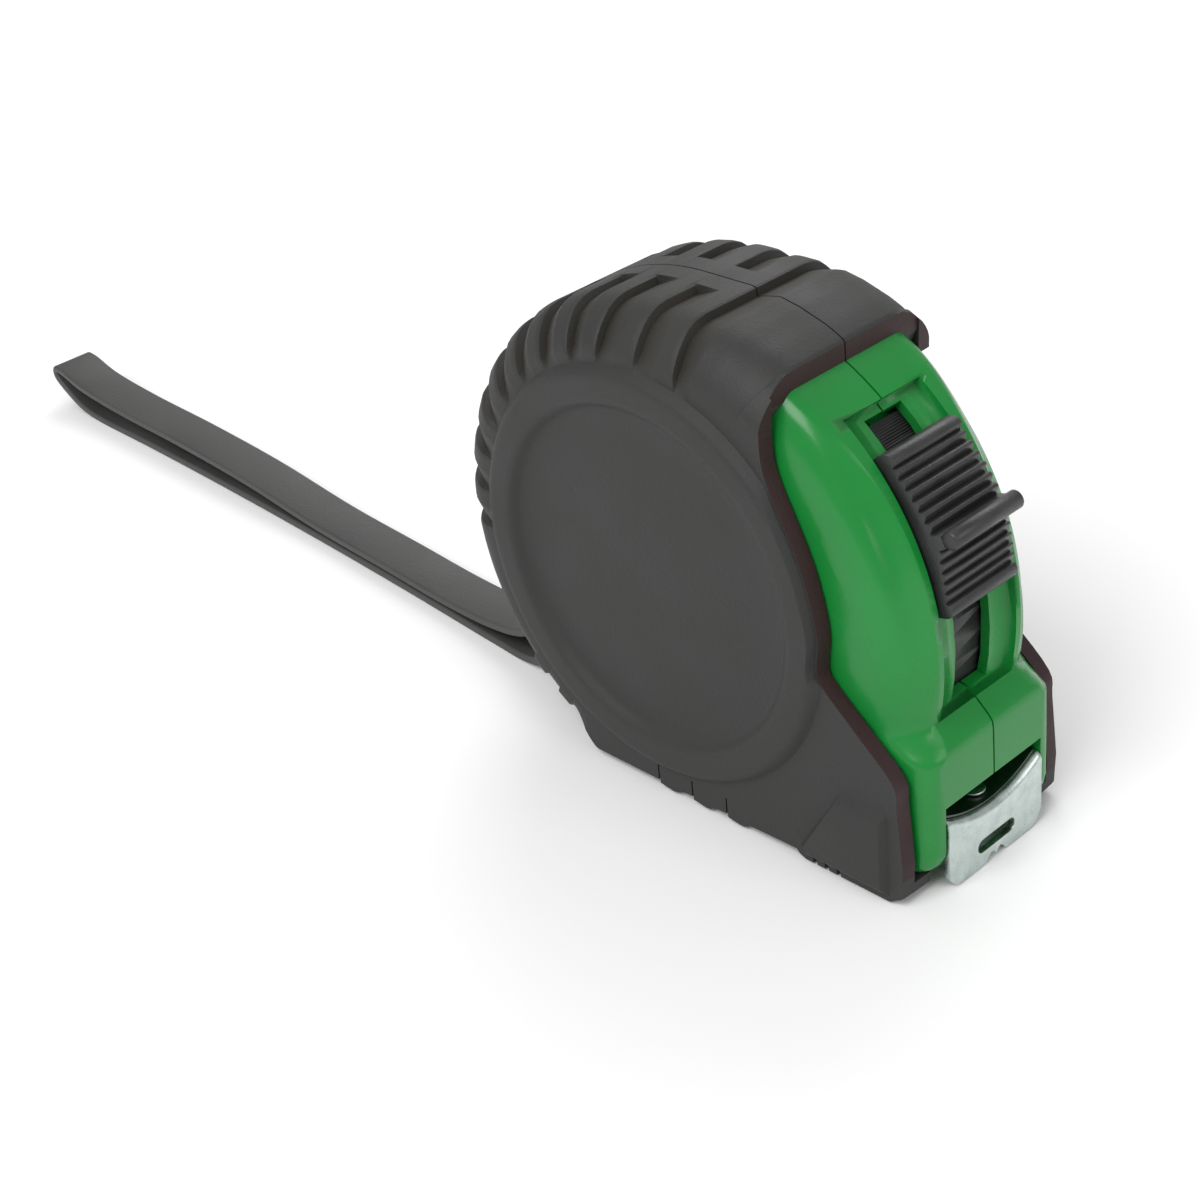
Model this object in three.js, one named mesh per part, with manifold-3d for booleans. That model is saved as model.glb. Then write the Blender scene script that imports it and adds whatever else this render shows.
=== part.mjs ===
// Pocket tape measure: a moulded case in two halves with rubber jackets, a spring reel with a steel
// blade and its end hook, a thumb lock on the front, a belt clip and a wrist strap.
//
// Units are millimetres. +X points out of the mouth, +Z is up, and the case parts at y = 0.
// Shapes are drawn about the reel's axis, and the whole group is then lifted so that z = 0 is the
// surface that the case stands on, with the origin straight below the reel's axis.

import * as THREE from "three";
import { mergeVertices } from "three/addons/utils/BufferGeometryUtils.js";
import Module from "manifold-3d";

const wasm = await Module();
wasm.setup();

// ---------------------------------------------------------------- driving dimensions

// blade and its coil
const BLADE_WIDTH = 19;
const BLADE_THICKNESS = 0.3;
const BLADE_SAG = 0.9; // how far the middle of the cupped blade hangs below its flat stretch
const BLADE_LIFT = 1.7; // how far its edges rise above the flat stretch
const BLADE_TAIL = 9.5; // straight stretch kept behind the reel's axis
const COIL_BUILD = 5.5; // radial height of the wound blade

// reel
const DRUM_RADIUS = 18.6;
const DRUM_WALL = 1.2;
const FLANGE_THICKNESS = 0.9;
const FLANGE_RIM = 1.5; // how far the flanges stand above the coil
const SPINDLE_RADIUS = 2.5;
const SPRING_STRIP = 0.5;
const SPRING_TURNS = 5;

// case walls
const SHELL_WALL = 2.4; // side walls
const RIM_WALL = 7.5; // wall around the reel, deep enough for the screws
const JACKET_WALL = 2.3;
const STAND_HEIGHT = 34.5; // from the standing surface to the reel's axis
const REAR_X = -1.2; // centre of the jacket's rear curve
const RING_RISE = 1.35; // raised ring on each side of the case
const RING_RADIUS = 30;
const RING_WIDTH = 5.3;
const RIB_COUNT = 11;
const RIB_DEPTH = 1.3;
const RIB_SLOPE = 3.6; // how far a groove's floor takes to rise to the surface
const RIB_PITCH = 10.65 * (Math.PI / 180);
const RIB_FIRST = 78.2 * (Math.PI / 180);
const SPINE_HALF_WIDTH = 3.5; // plain band along the parting, crossed only by the first groove
const LUMP_HEIGHT = 0.8; // saw-tooth lumps under the case

// front of the case: an arc about its own centre, on which the lock slides
const FRONT_BULGE = 3.1; // the front arc's radius is this much more than the rear wall's
const FRONT_X = 4.3;
const FRONT_Z = -2.6;
const FRONT_TOP = 64.5 * (Math.PI / 180);
const FRONT_FOOT = -12.3 * (Math.PI / 180);
const NOSE_STEP = 2.0; // how far the nose stands out below the lock's track
const NOSE_HALF_WIDTH = 13.2;
const MOUTH_MARGIN = 1.8; // open height above the blade's edges

// thumb lock
const BUTTON_HALF_WIDTH = 6.6;
const BUTTON_HEIGHT = 2.1;
const BUTTON_TOP = 43.5 * (Math.PI / 180);
const BUTTON_FOOT = 10.4 * (Math.PI / 180);
const BAR_RADIUS = 1.2;
const BAR_ANGLE = 25.2 * (Math.PI / 180);
const BAR_STANDOFF = 5.5; // from the recess floor to the bar's axis
const RECESS_DEPTH = 1.3;
const RECESS_TOP = 52.5 * (Math.PI / 180);
const SLOT_HALF_WIDTH = 3.5;
const BELT_HALF_WIDTH = 5.6;
const BELT_THICKNESS = 1.2;
const BELT_TOP = 50 * (Math.PI / 180);
const BELT_FOOT = -20.1 * (Math.PI / 180);
const PAD_HALF_WIDTH = 4;
const PAD_LENGTH = 4 * (Math.PI / 180);

// end hook
const HOOK_THICKNESS = 0.9;
const HOOK_OVERHANG = 0.25; // how far the hook is wider than the blade, each side
const HOOK_TONGUE = 8.8; // length of the tongue under the blade
const HOOK_TONGUE_HALF_WIDTH = 5.5;
const HOOK_PLAY = 1.0;
const RIVET_RADIUS = 0.95;
const RIVET_HEAD_RADIUS = 1.8;
const RIVET_HEAD = 0.4;
const RIVET_PITCH = 3.6;

// screws, strap and clip
const SCREW_RADIUS = 1.1;
const SCREW_HEAD_RADIUS = 2.1;
const SCREW_HEAD = 1.5;
const SCREW_GRIP = 7; // how far a screw bites into the left shell
const SCREW_INSET = 5.3; // of the rear and upper screws, from the shell's rim
const STRAP_THICKNESS = 1.4;
const STRAP_HALF_WIDTH = 4.2;
const STRAP_PIN_RADIUS = 1.3;
const STRAP_LENGTH = 163;
const CLIP_THICKNESS = 1.0;
const CLIP_HALF_WIDTH = 6.5;
const CLIP_GAP = 3.6; // room for a belt between the clip and the case

// clearances
const FIT = 0.3; // between pieces that sit against each other
const HALF_PARTING = 0.15; // each half stops this far from the parting plane
const SPIN_GAP = 0.5; // between the turning reel and the side walls
const SHAFT_GAP = 0.15;

// ---------------------------------------------------------------- sizes that follow

const bladeHalf = BLADE_WIDTH / 2;
const flangeInner = bladeHalf + 0.4;
const flangeOuter = flangeInner + FLANGE_THICKNESS;
const cavityHalf = flangeOuter + SPIN_GAP;
const shellHalf = cavityHalf + SHELL_WALL;
const jacketInner = shellHalf + FIT;
const caseHalf = jacketInner + JACKET_WALL;
const ringTop = caseHalf + RING_RISE;

const coilInner = DRUM_RADIUS + 0.2;
const coilOuter = coilInner + COIL_BUILD;
const flangeRadius = coilOuter + FLANGE_RIM;
const cavityRadius = flangeRadius + 1.4;
const shellRadius = cavityRadius + RIM_WALL;
const caseRadius = shellRadius + FIT + JACKET_WALL;
const standHeight = STAND_HEIGHT + (caseRadius - 37.3);

const frontRadius = shellRadius + FRONT_BULGE;
const noseX = FRONT_X + frontRadius + NOSE_STEP;
const bladeZ = -(coilOuter + BLADE_THICKNESS / 2 + FIT);
const mouthTop = bladeZ + BLADE_LIFT + MOUTH_MARGIN;
const mouthHalf = bladeHalf + 0.45;
const hookHalf = bladeHalf + HOOK_OVERHANG;
const hookBack = noseX - 0.6; // inner face of the hook
const floorFront = hookBack - HOOK_PLAY - 0.1; // the case's lip that the hook comes back to
const mouthFloor = bladeZ - BLADE_SAG - BLADE_THICKNESS / 2 - HOOK_THICKNESS - RIVET_HEAD - 0.8;
const shellFloor = -(standHeight - FIT - JACKET_WALL - 0.7);

const recessFloor = frontRadius - RECESS_DEPTH;
const recessHalf = BUTTON_HALF_WIDTH + 0.7;
const neckHalf = SLOT_HALF_WIDTH - FIT;
const beltOuter = recessFloor - 1.7;
const beltInner = beltOuter - BELT_THICKNESS;
const beltTrackHalf = BELT_HALF_WIDTH + FIT;

const pinDistance = standHeight - 2.7;
const pinAngle = 224.7 * (Math.PI / 180);
const strapPin = polar(pinDistance, pinAngle);
const pocketHalf = 2 * STRAP_HALF_WIDTH;
const pinHalf = pocketHalf + 2.4;

const clipZ = RING_RADIUS - RING_WIDTH - 10.5; // centre of the clip's screw

// ---------------------------------------------------------------- helpers

/** Point at a distance and angle from a centre, in the XZ plane. */
function polar(radius, angle, x = 0, z = 0) {
  return [x + radius * Math.cos(angle), z + radius * Math.sin(angle)];
}

/** A closed shape through points given as [x, z] pairs. */
function outline(points) {
  return new THREE.Shape(points.map(([x, z]) => new THREE.Vector2(x, z)));
}

/** Points of an arc about a centre, both ends included. */
function arc(radius, from, to, steps, x = 0, z = 0) {
  const points = [];
  for (let i = 0; i <= steps; i += 1) {
    points.push(polar(radius, from + ((to - from) * i) / steps, x, z));
  }
  return points;
}

/** A sector of the ring about the front arc's centre, as points. */
function frontSector(inner, outer, from, to, steps = 10) {
  return [
    ...arc(outer, from, to, steps, FRONT_X, FRONT_Z),
    ...arc(inner, to, from, steps, FRONT_X, FRONT_Z),
  ];
}

/** Only the positions of a geometry, with shared vertices merged. */
function welded(geometry) {
  const plain = geometry.clone();
  plain.deleteAttribute("normal");
  plain.deleteAttribute("uv");
  return mergeVertices(plain, 1e-4);
}

/** Signed volume, negative when the faces point inwards. */
function signedVolume(geometry) {
  const position = geometry.attributes.position;
  const index = geometry.index;
  const [a, b, c] = [new THREE.Vector3(), new THREE.Vector3(), new THREE.Vector3()];
  let sum = 0;
  for (let i = 0; i < index.count; i += 3) {
    a.fromBufferAttribute(position, index.getX(i));
    b.fromBufferAttribute(position, index.getX(i + 1));
    c.fromBufferAttribute(position, index.getX(i + 2));
    sum += a.dot(b.cross(c));
  }
  return sum / 6;
}

/** A closed geometry as a manifold-3d solid. */
function solid(geometry) {
  const mesh = welded(geometry);
  const triVerts = Uint32Array.from(mesh.index.array);
  if (signedVolume(mesh) < 0) {
    triVerts.reverse();
  }
  const vertProperties = Float32Array.from(mesh.attributes.position.array);
  return new wasm.Manifold(new wasm.Mesh({ numProp: 3, vertProperties, triVerts }));
}

/** A manifold-3d solid as a geometry with flat faces. */
function toGeometry(body) {
  const mesh = body.getMesh();
  const geometry = new THREE.BufferGeometry();
  geometry.setAttribute("position", new THREE.BufferAttribute(mesh.vertProperties, 3));
  geometry.setIndex(new THREE.BufferAttribute(mesh.triVerts, 1));
  geometry.computeVertexNormals();
  return geometry;
}

/** A shape drawn in XZ, extruded along Y from y0 to y1. */
function prism(points, y0, y1) {
  const geometry = new THREE.ExtrudeGeometry(outline(points), {
    depth: y1 - y0,
    bevelEnabled: false,
  });
  geometry.rotateX(Math.PI / 2);
  geometry.translate(0, y1, 0);
  return solid(geometry);
}

/** A profile of [radius, y] points, closed on itself, turned about the Y axis. */
function turned(profile, segments = 48, x = 0, z = 0) {
  const closed = [...profile, profile[0]].map(([r, y]) => new THREE.Vector2(r, y));
  const geometry = new THREE.LatheGeometry(closed, segments);
  geometry.translate(x, 0, z);
  return solid(geometry);
}

/** A round bar along Y. */
function pinAlongY(radius, y0, y1, [x, z], segments = 20) {
  const geometry = new THREE.CylinderGeometry(radius, radius, y1 - y0, segments);
  geometry.translate(x, (y0 + y1) / 2, z);
  return solid(geometry);
}

/** A round bar along Z. */
function pinAlongZ(radius, z0, z1, x, y, segments = 16) {
  const geometry = new THREE.CylinderGeometry(radius, radius, z1 - z0, segments);
  geometry.rotateX(Math.PI / 2);
  geometry.translate(x, y, (z0 + z1) / 2);
  return solid(geometry);
}

/** A box between two corners. */
function block([x0, y0, z0], [x1, y1, z1]) {
  const geometry = new THREE.BoxGeometry(x1 - x0, y1 - y0, z1 - z0);
  geometry.translate((x0 + x1) / 2, (y0 + y1) / 2, (z0 + z1) / 2);
  return solid(geometry);
}

/** Height of the cupped blade's middle surface above its flat stretch, at y; cup runs from 0 to 1. */
function bladeRise(y, cup) {
  const across = (y / bladeHalf) ** 2;
  return cup * ((BLADE_SAG + BLADE_LIFT) * across - BLADE_SAG);
}

/** A strip along X whose section follows the blade's cup; stations are [x, cup] pairs. */
function cuppedStrip(stations, halfWidth, low, high, steps = 8) {
  const positions = [];
  const index = [];
  const ring = 2 * (steps + 1);
  stations.forEach(([x, cup]) => {
    for (let i = 0; i < ring; i += 1) {
      const top = i > steps;
      const k = top ? ring - 1 - i : i;
      const y = halfWidth * ((2 * k) / steps - 1);
      positions.push(x, y, bladeZ + bladeRise(y, cup) + (top ? high : low));
    }
  });
  for (let s = 0; s + 1 < stations.length; s += 1) {
    for (let i = 0; i < ring; i += 1) {
      const a = s * ring + i;
      const b = s * ring + ((i + 1) % ring);
      index.push(a, b, b + ring, a, b + ring, a + ring);
    }
  }
  const last = (stations.length - 1) * ring;
  for (let k = 0; k < steps; k += 1) {
    const [a, b, c, d] = [k, k + 1, ring - 2 - k, ring - 1 - k];
    index.push(a, c, b, a, d, c);
    index.push(last + a, last + b, last + c, last + a, last + c, last + d);
  }
  const geometry = new THREE.BufferGeometry();
  geometry.setAttribute("position", new THREE.Float32BufferAttribute(positions, 3));
  geometry.setIndex(index);
  return solid(geometry);
}

/** Left half (y < 0) of a full-width solid. */
function leftHalf(body) {
  return body.subtract(block([-200, -HALF_PARTING, -200], [200, 200, 200]));
}

/** Right half (y > 0) of a full-width solid. */
function rightHalf(body) {
  return body.subtract(block([-200, -200, -200], [200, HALF_PARTING, 200]));
}

const tapeMeasure = new THREE.Group();

/** Adds a named piece with its own material. */
function piece(name, body, color, roughness, metalness = 0) {
  const material = new THREE.MeshStandardMaterial({ color, roughness, metalness });
  const mesh = new THREE.Mesh(toGeometry(body), material);
  mesh.name = name;
  tapeMeasure.add(mesh);
}

const GREEN = 0x1f9a4a;
const RUBBER = 0x47484a;
const BLACK = 0x2a2a2b;
const STEEL = 0xb9c2c0;
const BLADE_YELLOW = 0xd9c22e;

// ---------------------------------------------------------------- case

/** Side view of the moulded case, grown outwards by a clearance. */
function shellOutline(grow) {
  const floor = shellFloor - grow;
  const corner = noseX + grow;
  return [
    ...arc(frontRadius + grow, FRONT_FOOT, FRONT_TOP, 14, FRONT_X, FRONT_Z),
    ...arc(shellRadius + grow, Math.PI / 2, Math.PI + Math.asin(-floor / (shellRadius + grow)), 28),
    [6, floor],
    [noseX - 3.2, floor],
    [corner - 0.9, floor + 0.9],
    [corner, floor + 3],
    [corner, mouthTop],
    [corner - 0.2, mouthTop + 8],
  ];
}

/** Side view of the rubber jacket, with the curved front border and the foot. */
function jacketOutline() {
  const top = caseRadius;
  const base = -standHeight;
  const valley = base + LUMP_HEIGHT;
  const lumps = [];
  for (const x of [-1.2, 5.2, 11.6]) {
    lumps.push([x, base], [x + 3.6, base], [x + 4.2, valley]);
  }
  const brow = [[22.6, 3.6], [23.7, 3], [25.3, 2.3], [29.4, 1], [33.1, 0.3], [36.9, 0]];
  return [
    ...brow.map(([back, drop]) => [noseX - back, top - drop]),
    ...arc(top, Math.PI / 2, Math.PI + Math.asin(-valley / top), 30, REAR_X, 0),
    ...lumps,
    [noseX - 19.8, valley + 0.2],
    [noseX - 17.8, base],
    [noseX - 2.2, base],
    [noseX - 1.8, base + 6.2],
    [noseX - 2.9, base + 19.2],
    [noseX - 14.6, base + 30.1],
    [noseX - 14.4, base + 36.7],
    [noseX - 16.5, base + 45.2],
    [noseX - 20.8, base + 54.1],
    [noseX - 22.1, base + 58],
    [noseX - 21.9, top - 5.2],
  ];
}

/** The pocket at the lower rear corner that the strap swings in. */
function strapPocket(half) {
  const [x, z] = strapPin;
  const clear = STRAP_PIN_RADIUS + STRAP_THICKNESS + 0.8;
  const round = arc(clear, 0.62 * Math.PI, -0.32 * Math.PI, 10, x, z);
  return prism([...round, [x - 1.5, z - 14], [x - 20, z - 14], [x - 20, z + 8], [x - 8, z + 8]], -half, half);
}

const screwPlaces = [
  polar(frontRadius - SCREW_INSET - 0.6, 56.4 * (Math.PI / 180), FRONT_X, FRONT_Z),
  polar(shellRadius - SCREW_INSET, 2.44),
  polar(shellRadius - SCREW_INSET, 3.42),
  polar(beltInner - 2.4, -24 * (Math.PI / 180), FRONT_X, FRONT_Z),
];

/** Everything that is cut out of the moulded case: reel space, blade channel, lock and screws. */
function shellCuts() {
  const reelSpace = turned([[0.01, -cavityHalf], [cavityRadius, -cavityHalf],
    [cavityRadius, cavityHalf], [0.01, cavityHalf]]).add(
    pinAlongY(1, -cavityHalf, cavityHalf, [0, 0]));
  const channel = block([0, -mouthHalf, mouthFloor], [noseX + 5, mouthHalf, mouthTop]);
  const lip = block([floorFront, -mouthHalf, -standHeight - 5], [noseX + 5, mouthHalf, mouthTop - 1]);
  const recess = prism(frontSector(recessFloor, frontRadius + 6, FRONT_FOOT, RECESS_TOP),
    -recessHalf, recessHalf);
  const slot = prism(frontSector(beltInner, frontRadius, FRONT_FOOT + 0.02, RECESS_TOP - 0.03),
    -SLOT_HALF_WIDTH, SLOT_HALF_WIDTH);
  const track = prism(frontSector(beltInner - 0.4, beltOuter + 0.4, -0.84, RECESS_TOP + 0.07),
    -beltTrackHalf, beltTrackHalf);
  const socket = pinAlongY(SPINDLE_RADIUS + SHAFT_GAP, -cavityHalf - 1.4, cavityHalf + 1.4, [0, 0], 24);
  return [reelSpace, channel, lip, recess, slot, track, socket, strapPocket(pocketHalf),
    pinAlongY(STRAP_PIN_RADIUS + SHAFT_GAP, -pinHalf - 0.2, pinHalf + 0.2, strapPin)];
}

/** The moulded case before it is split, narrower at the nose than over the reel. */
function shellBlank() {
  const body = prism(shellOutline(0), -shellHalf, shellHalf);
  const cheek = block([noseX - 2.6, NOSE_HALF_WIDTH, -60], [noseX + 5, 60, 60]);
  const otherCheek = block([noseX - 2.6, -60, -60], [noseX + 5, -NOSE_HALF_WIDTH, 60]);
  return shellCuts().reduce((rest, cut) => rest.subtract(cut), body.subtract(cheek).subtract(otherCheek));
}

const shellBody = shellBlank();
const screwSeat = shellHalf - 1.2 - SCREW_HEAD; // y under the screw heads
const screwEnd = -SCREW_GRIP;

/** Holes for the case screws: a clearance bore, a head bore and the bite in the left shell. */
function screwHoles(extra) {
  return screwPlaces.map((place) =>
    pinAlongY(SCREW_RADIUS + extra, screwEnd - FIT, screwSeat + 1, place, 12).add(
      pinAlongY(SCREW_HEAD_RADIUS + extra, screwSeat - 0.05, ringTop + 5, place, 16)));
}

const leftShell = screwHoles(0.1).reduce((body, hole) => body.subtract(hole), leftHalf(shellBody));
const rightShell = screwHoles(0.1).reduce((body, hole) => body.subtract(hole), rightHalf(shellBody));
piece("left_shell", leftShell, GREEN, 0.35);
piece("right_shell", rightShell, GREEN, 0.35);

/** Where a grip groove meets the jacket's surface, and the surface's direction there. */
function jacketSurface(angle) {
  if (angle < Math.PI / 2) {
    return { at: [caseRadius / Math.tan(angle), caseRadius], normal: Math.PI / 2 };
  }
  return { at: polar(caseRadius, angle, REAR_X, 0), normal: angle };
}

/** Saw-tooth grooves across the top and the rear, steep towards the rear, cut as wedges. */
function gripGrooves() {
  return Array.from({ length: RIB_COUNT }, (_, i) => {
    const { at, normal } = jacketSurface(RIB_FIRST + i * RIB_PITCH);
    const along = (t, n) => {
      const [tx, tz] = [-Math.sin(normal), Math.cos(normal)];
      return [at[0] + t * tx + n * Math.cos(normal), at[1] + t * tz + n * Math.sin(normal)];
    };
    const wedge = prism([along(0, 0.6), along(-RIB_SLOPE, 0.6), along(-0.2, -RIB_DEPTH)],
      -caseHalf - 1, caseHalf + 1);
    return i === 0 ? wedge : wedge.subtract(
      block([-99, -SPINE_HALF_WIDTH, -99], [99, SPINE_HALF_WIDTH, 99]));
  });
}

/** The rounded shoulder between the rim and each side, along the top and round the rear. */
function shoulderCuts() {
  const chain = [[0, 7.3], [0.6, 4.7], [1.9, 2.7], [4, 0.9], [6.2, -0.3]];
  return [-1, 1].flatMap((side) => {
    const profile = [
      ...chain.map(([drop, inset]) => [caseRadius + 0.02 - drop, side * (caseHalf - inset)]),
      [caseRadius - 6.2, side * (caseHalf + 3)],
      [caseRadius + 9, side * (caseHalf + 3)],
      [caseRadius + 9, side * (caseHalf - 7.3)],
    ];
    const round = new THREE.LatheGeometry(
      [...profile, profile[0]].map(([r, y]) => new THREE.Vector2(r, y)), 96);
    round.translate(REAR_X, 0, 0);
    const rear = solid(round).subtract(block([REAR_X, -99, -99], [99, 99, 99]))
      .subtract(block([-99, -99, -99], [99, 99, -24]));
    const bar = new THREE.ExtrudeGeometry(
      new THREE.Shape(profile.map(([r, y]) => new THREE.Vector2(y, r))),
      { depth: noseX - REAR_X, bevelEnabled: false });
    bar.applyMatrix4(new THREE.Matrix4().makeBasis(
      new THREE.Vector3(0, 1, 0), new THREE.Vector3(0, 0, 1), new THREE.Vector3(1, 0, 0)));
    bar.translate(REAR_X, 0, 0);
    return [rear, solid(bar)];
  });
}

/** Raised ring on one side of the jacket. */
function sideRing(side) {
  const inner = RING_RADIUS - RING_WIDTH;
  return turned([
    [inner, side * (caseHalf - 0.5)],
    [inner + 0.3, side * ringTop],
    [RING_RADIUS - 1.2, side * ringTop],
    [RING_RADIUS + 0.2, side * (caseHalf - 0.5)],
  ]);
}

/** The rubber jacket before it is split. */
function jacketBlank() {
  const outer = prism(jacketOutline(), -caseHalf, caseHalf);
  const inner = prism(shellOutline(FIT), -jacketInner, jacketInner);
  const throat = block([noseX - 9, -mouthHalf - 0.9, -60], [noseX + 5, mouthHalf + 0.9, shellFloor]);
  const pinRelief = pinAlongY(STRAP_PIN_RADIUS + FIT, -pinHalf - FIT, pinHalf + FIT, strapPin);
  const cuts = [inner, throat, strapPocket(pocketHalf + 0.4), pinRelief, ...gripGrooves(), ...shoulderCuts()];
  return cuts.reduce((rest, cut) => rest.subtract(cut), outer).add(sideRing(-1)).add(sideRing(1));
}

const jacketBody = jacketBlank();
const clipScrewHole = pinAlongY(SCREW_RADIUS + 0.1, 0, ringTop + 5, [0, clipZ], 12);
const rightJacket = screwHoles(0.4).reduce((body, hole) => body.subtract(hole), rightHalf(jacketBody));
piece("left_jacket", leftHalf(jacketBody), RUBBER, 0.85);
piece("right_jacket", rightJacket.subtract(clipScrewHole), RUBBER, 0.85);

screwPlaces.forEach((place, i) => {
  const head = pinAlongY(SCREW_HEAD_RADIUS - 0.1, screwSeat + 0.1, screwSeat + 0.1 + SCREW_HEAD, place, 16);
  const shank = pinAlongY(SCREW_RADIUS - 0.1, screwEnd, screwSeat + 0.3, place, 12);
  piece(`case_screw_${i + 1}`, head.add(shank), STEEL, 0.35, 1);
});

// ---------------------------------------------------------------- reel

/** Fixed post through the middle, split for the spring's inner end. */
function spindle() {
  const post = pinAlongY(SPINDLE_RADIUS, -cavityHalf - 1.2, cavityHalf + 1.2, [0, 0], 24);
  return post.subtract(block([-9, -bladeHalf + 2, -0.4], [9, bladeHalf - 2, 0.4]));
}

/** Flat spiral power spring between the spindle and the drum. */
function powerSpring() {
  const inner = SPINDLE_RADIUS + 0.6;
  const outer = DRUM_RADIUS - DRUM_WALL - SPRING_STRIP - 0.5;
  const steps = SPRING_TURNS * 18;
  const side = (offset) => Array.from({ length: steps + 1 }, (_, i) =>
    polar(inner + ((outer - inner) * i) / steps + offset, (i / steps) * SPRING_TURNS * 2 * Math.PI));
  return prism([...side(SPRING_STRIP), ...side(0).reverse()], -bladeHalf + 1.5, bladeHalf - 1.5);
}

const bore = SPINDLE_RADIUS + SHAFT_GAP;
const drumInner = DRUM_RADIUS - DRUM_WALL;
piece("spindle", spindle(), STEEL, 0.4, 1);
piece("power_spring", powerSpring(), 0x6d7378, 0.35, 1);
piece("reel_drum", turned([
  [bore, -flangeOuter], [flangeRadius, -flangeOuter], [flangeRadius, -flangeInner],
  [DRUM_RADIUS, -flangeInner], [DRUM_RADIUS, flangeInner - FIT], [drumInner, flangeInner - FIT],
  [drumInner, -flangeInner], [bore, -flangeInner]]), 0xd8d8d0, 0.5);
piece("reel_cover", turned([
  [bore, flangeInner], [flangeRadius, flangeInner], [flangeRadius, flangeOuter],
  [bore, flangeOuter]]), 0xd8d8d0, 0.5);
piece("tape_coil", turned([
  [coilInner, -bladeHalf], [coilOuter, -bladeHalf], [coilOuter, bladeHalf],
  [coilInner, bladeHalf]]), BLADE_YELLOW, 0.4);

// ---------------------------------------------------------------- blade and hook

const rivetXs = [0, 1].map((i) => hookBack - 3 - i * RIVET_PITCH);
const flatUnder = -BLADE_THICKNESS / 2;
const tongueTop = flatUnder - 0.12;
const tongueLow = tongueTop - HOOK_THICKNESS;

/** The straight run of blade: flat where it leaves the coil, cupped from there to its end. */
function blade() {
  const run = cuppedStrip(
    [[-BLADE_TAIL, 0], [1, 0], [5, 0.3], [9, 0.75], [13, 1], [hookBack - 0.2, 1]],
    bladeHalf, flatUnder, BLADE_THICKNESS / 2);
  return rivetXs.reduce((body, x) =>
    body.subtract(pinAlongZ(RIVET_RADIUS + SHAFT_GAP, bladeZ - 5, bladeZ + 5, x, 0)), run);
}

/** The upright plate of the hook, cupped along its top, with a nail slot and a claw notch. */
function hookPlate() {
  const top = (y) => bladeZ + bladeRise(y, 1) + tongueTop;
  const low = -standHeight + 0.25;
  const shape = new THREE.Shape();
  shape.moveTo(-hookHalf, low + 3);
  shape.quadraticCurveTo(-hookHalf, low, -hookHalf + 3, low);
  shape.lineTo(-2.2, low);
  shape.lineTo(-1.2, low + 1.2);
  shape.lineTo(1.2, low + 1.2);
  shape.lineTo(2.2, low);
  shape.lineTo(hookHalf - 3, low);
  shape.quadraticCurveTo(hookHalf, low, hookHalf, low + 3);
  const reach = bladeHalf - 0.2;
  shape.lineTo(hookHalf, top(reach) - 0.5);
  for (let i = 0; i <= 8; i += 1) {
    const y = reach * (1 - i / 4);
    shape.lineTo(y, top(y));
  }
  shape.lineTo(-hookHalf, top(reach) - 0.5);
  const slot = new THREE.Path();
  const slotZ = -standHeight + 3.2;
  slot.absarc(3.2, slotZ, 0.75, -Math.PI / 2, Math.PI / 2, false);
  slot.absarc(-3.2, slotZ, 0.75, Math.PI / 2, 1.5 * Math.PI, false);
  shape.holes.push(slot);
  const geometry = new THREE.ExtrudeGeometry(shape, {
    depth: HOOK_THICKNESS, bevelEnabled: false, curveSegments: 5 });
  geometry.applyMatrix4(new THREE.Matrix4().makeBasis(
    new THREE.Vector3(0, 1, 0), new THREE.Vector3(0, 0, 1), new THREE.Vector3(1, 0, 0)));
  geometry.translate(hookBack, 0, 0);
  return solid(geometry);
}

/** The hook's slotted tongue lies under the blade and slides on the rivets. */
function endHook() {
  const tongue = cuppedStrip([[hookBack - HOOK_TONGUE, 1], [hookBack + 0.3, 1]],
    HOOK_TONGUE_HALF_WIDTH, tongueLow, tongueTop, 6);
  const slots = rivetXs.map((x) => {
    const [near, far] = [x - 0.2, x + HOOK_PLAY + 0.2];
    const half = RIVET_RADIUS + SHAFT_GAP;
    return block([near, -half, bladeZ - 5], [far, half, bladeZ + 1]).add(
      pinAlongZ(half, bladeZ - 5, bladeZ + 1, near, 0)).add(
      pinAlongZ(half, bladeZ - 5, bladeZ + 1, far, 0));
  });
  return slots.reduce((body, slot) => body.subtract(slot), tongue).add(hookPlate());
}

/** A rivet through the blade, with a head above it and one under the tongue. */
function rivet(x) {
  const middle = bladeZ - BLADE_SAG;
  const edgeRise = bladeRise(RIVET_HEAD_RADIUS, 1) + BLADE_SAG;
  const above = middle + BLADE_THICKNESS / 2 + edgeRise + 0.05;
  const below = middle + tongueLow - 0.1;
  return pinAlongZ(RIVET_HEAD_RADIUS, above, above + RIVET_HEAD, x, 0)
    .add(pinAlongZ(RIVET_RADIUS, below - 0.1, above + 0.1, x, 0))
    .add(pinAlongZ(RIVET_HEAD_RADIUS, below - RIVET_HEAD, below, x, 0));
}

piece("tape_blade", blade(), BLADE_YELLOW, 0.35);
piece("end_hook", endHook(), STEEL, 0.3, 1);
rivetXs.forEach((x, i) => piece(`hook_rivet_${i + 1}`, rivet(x), STEEL, 0.35, 1));

// ---------------------------------------------------------------- thumb lock

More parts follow.
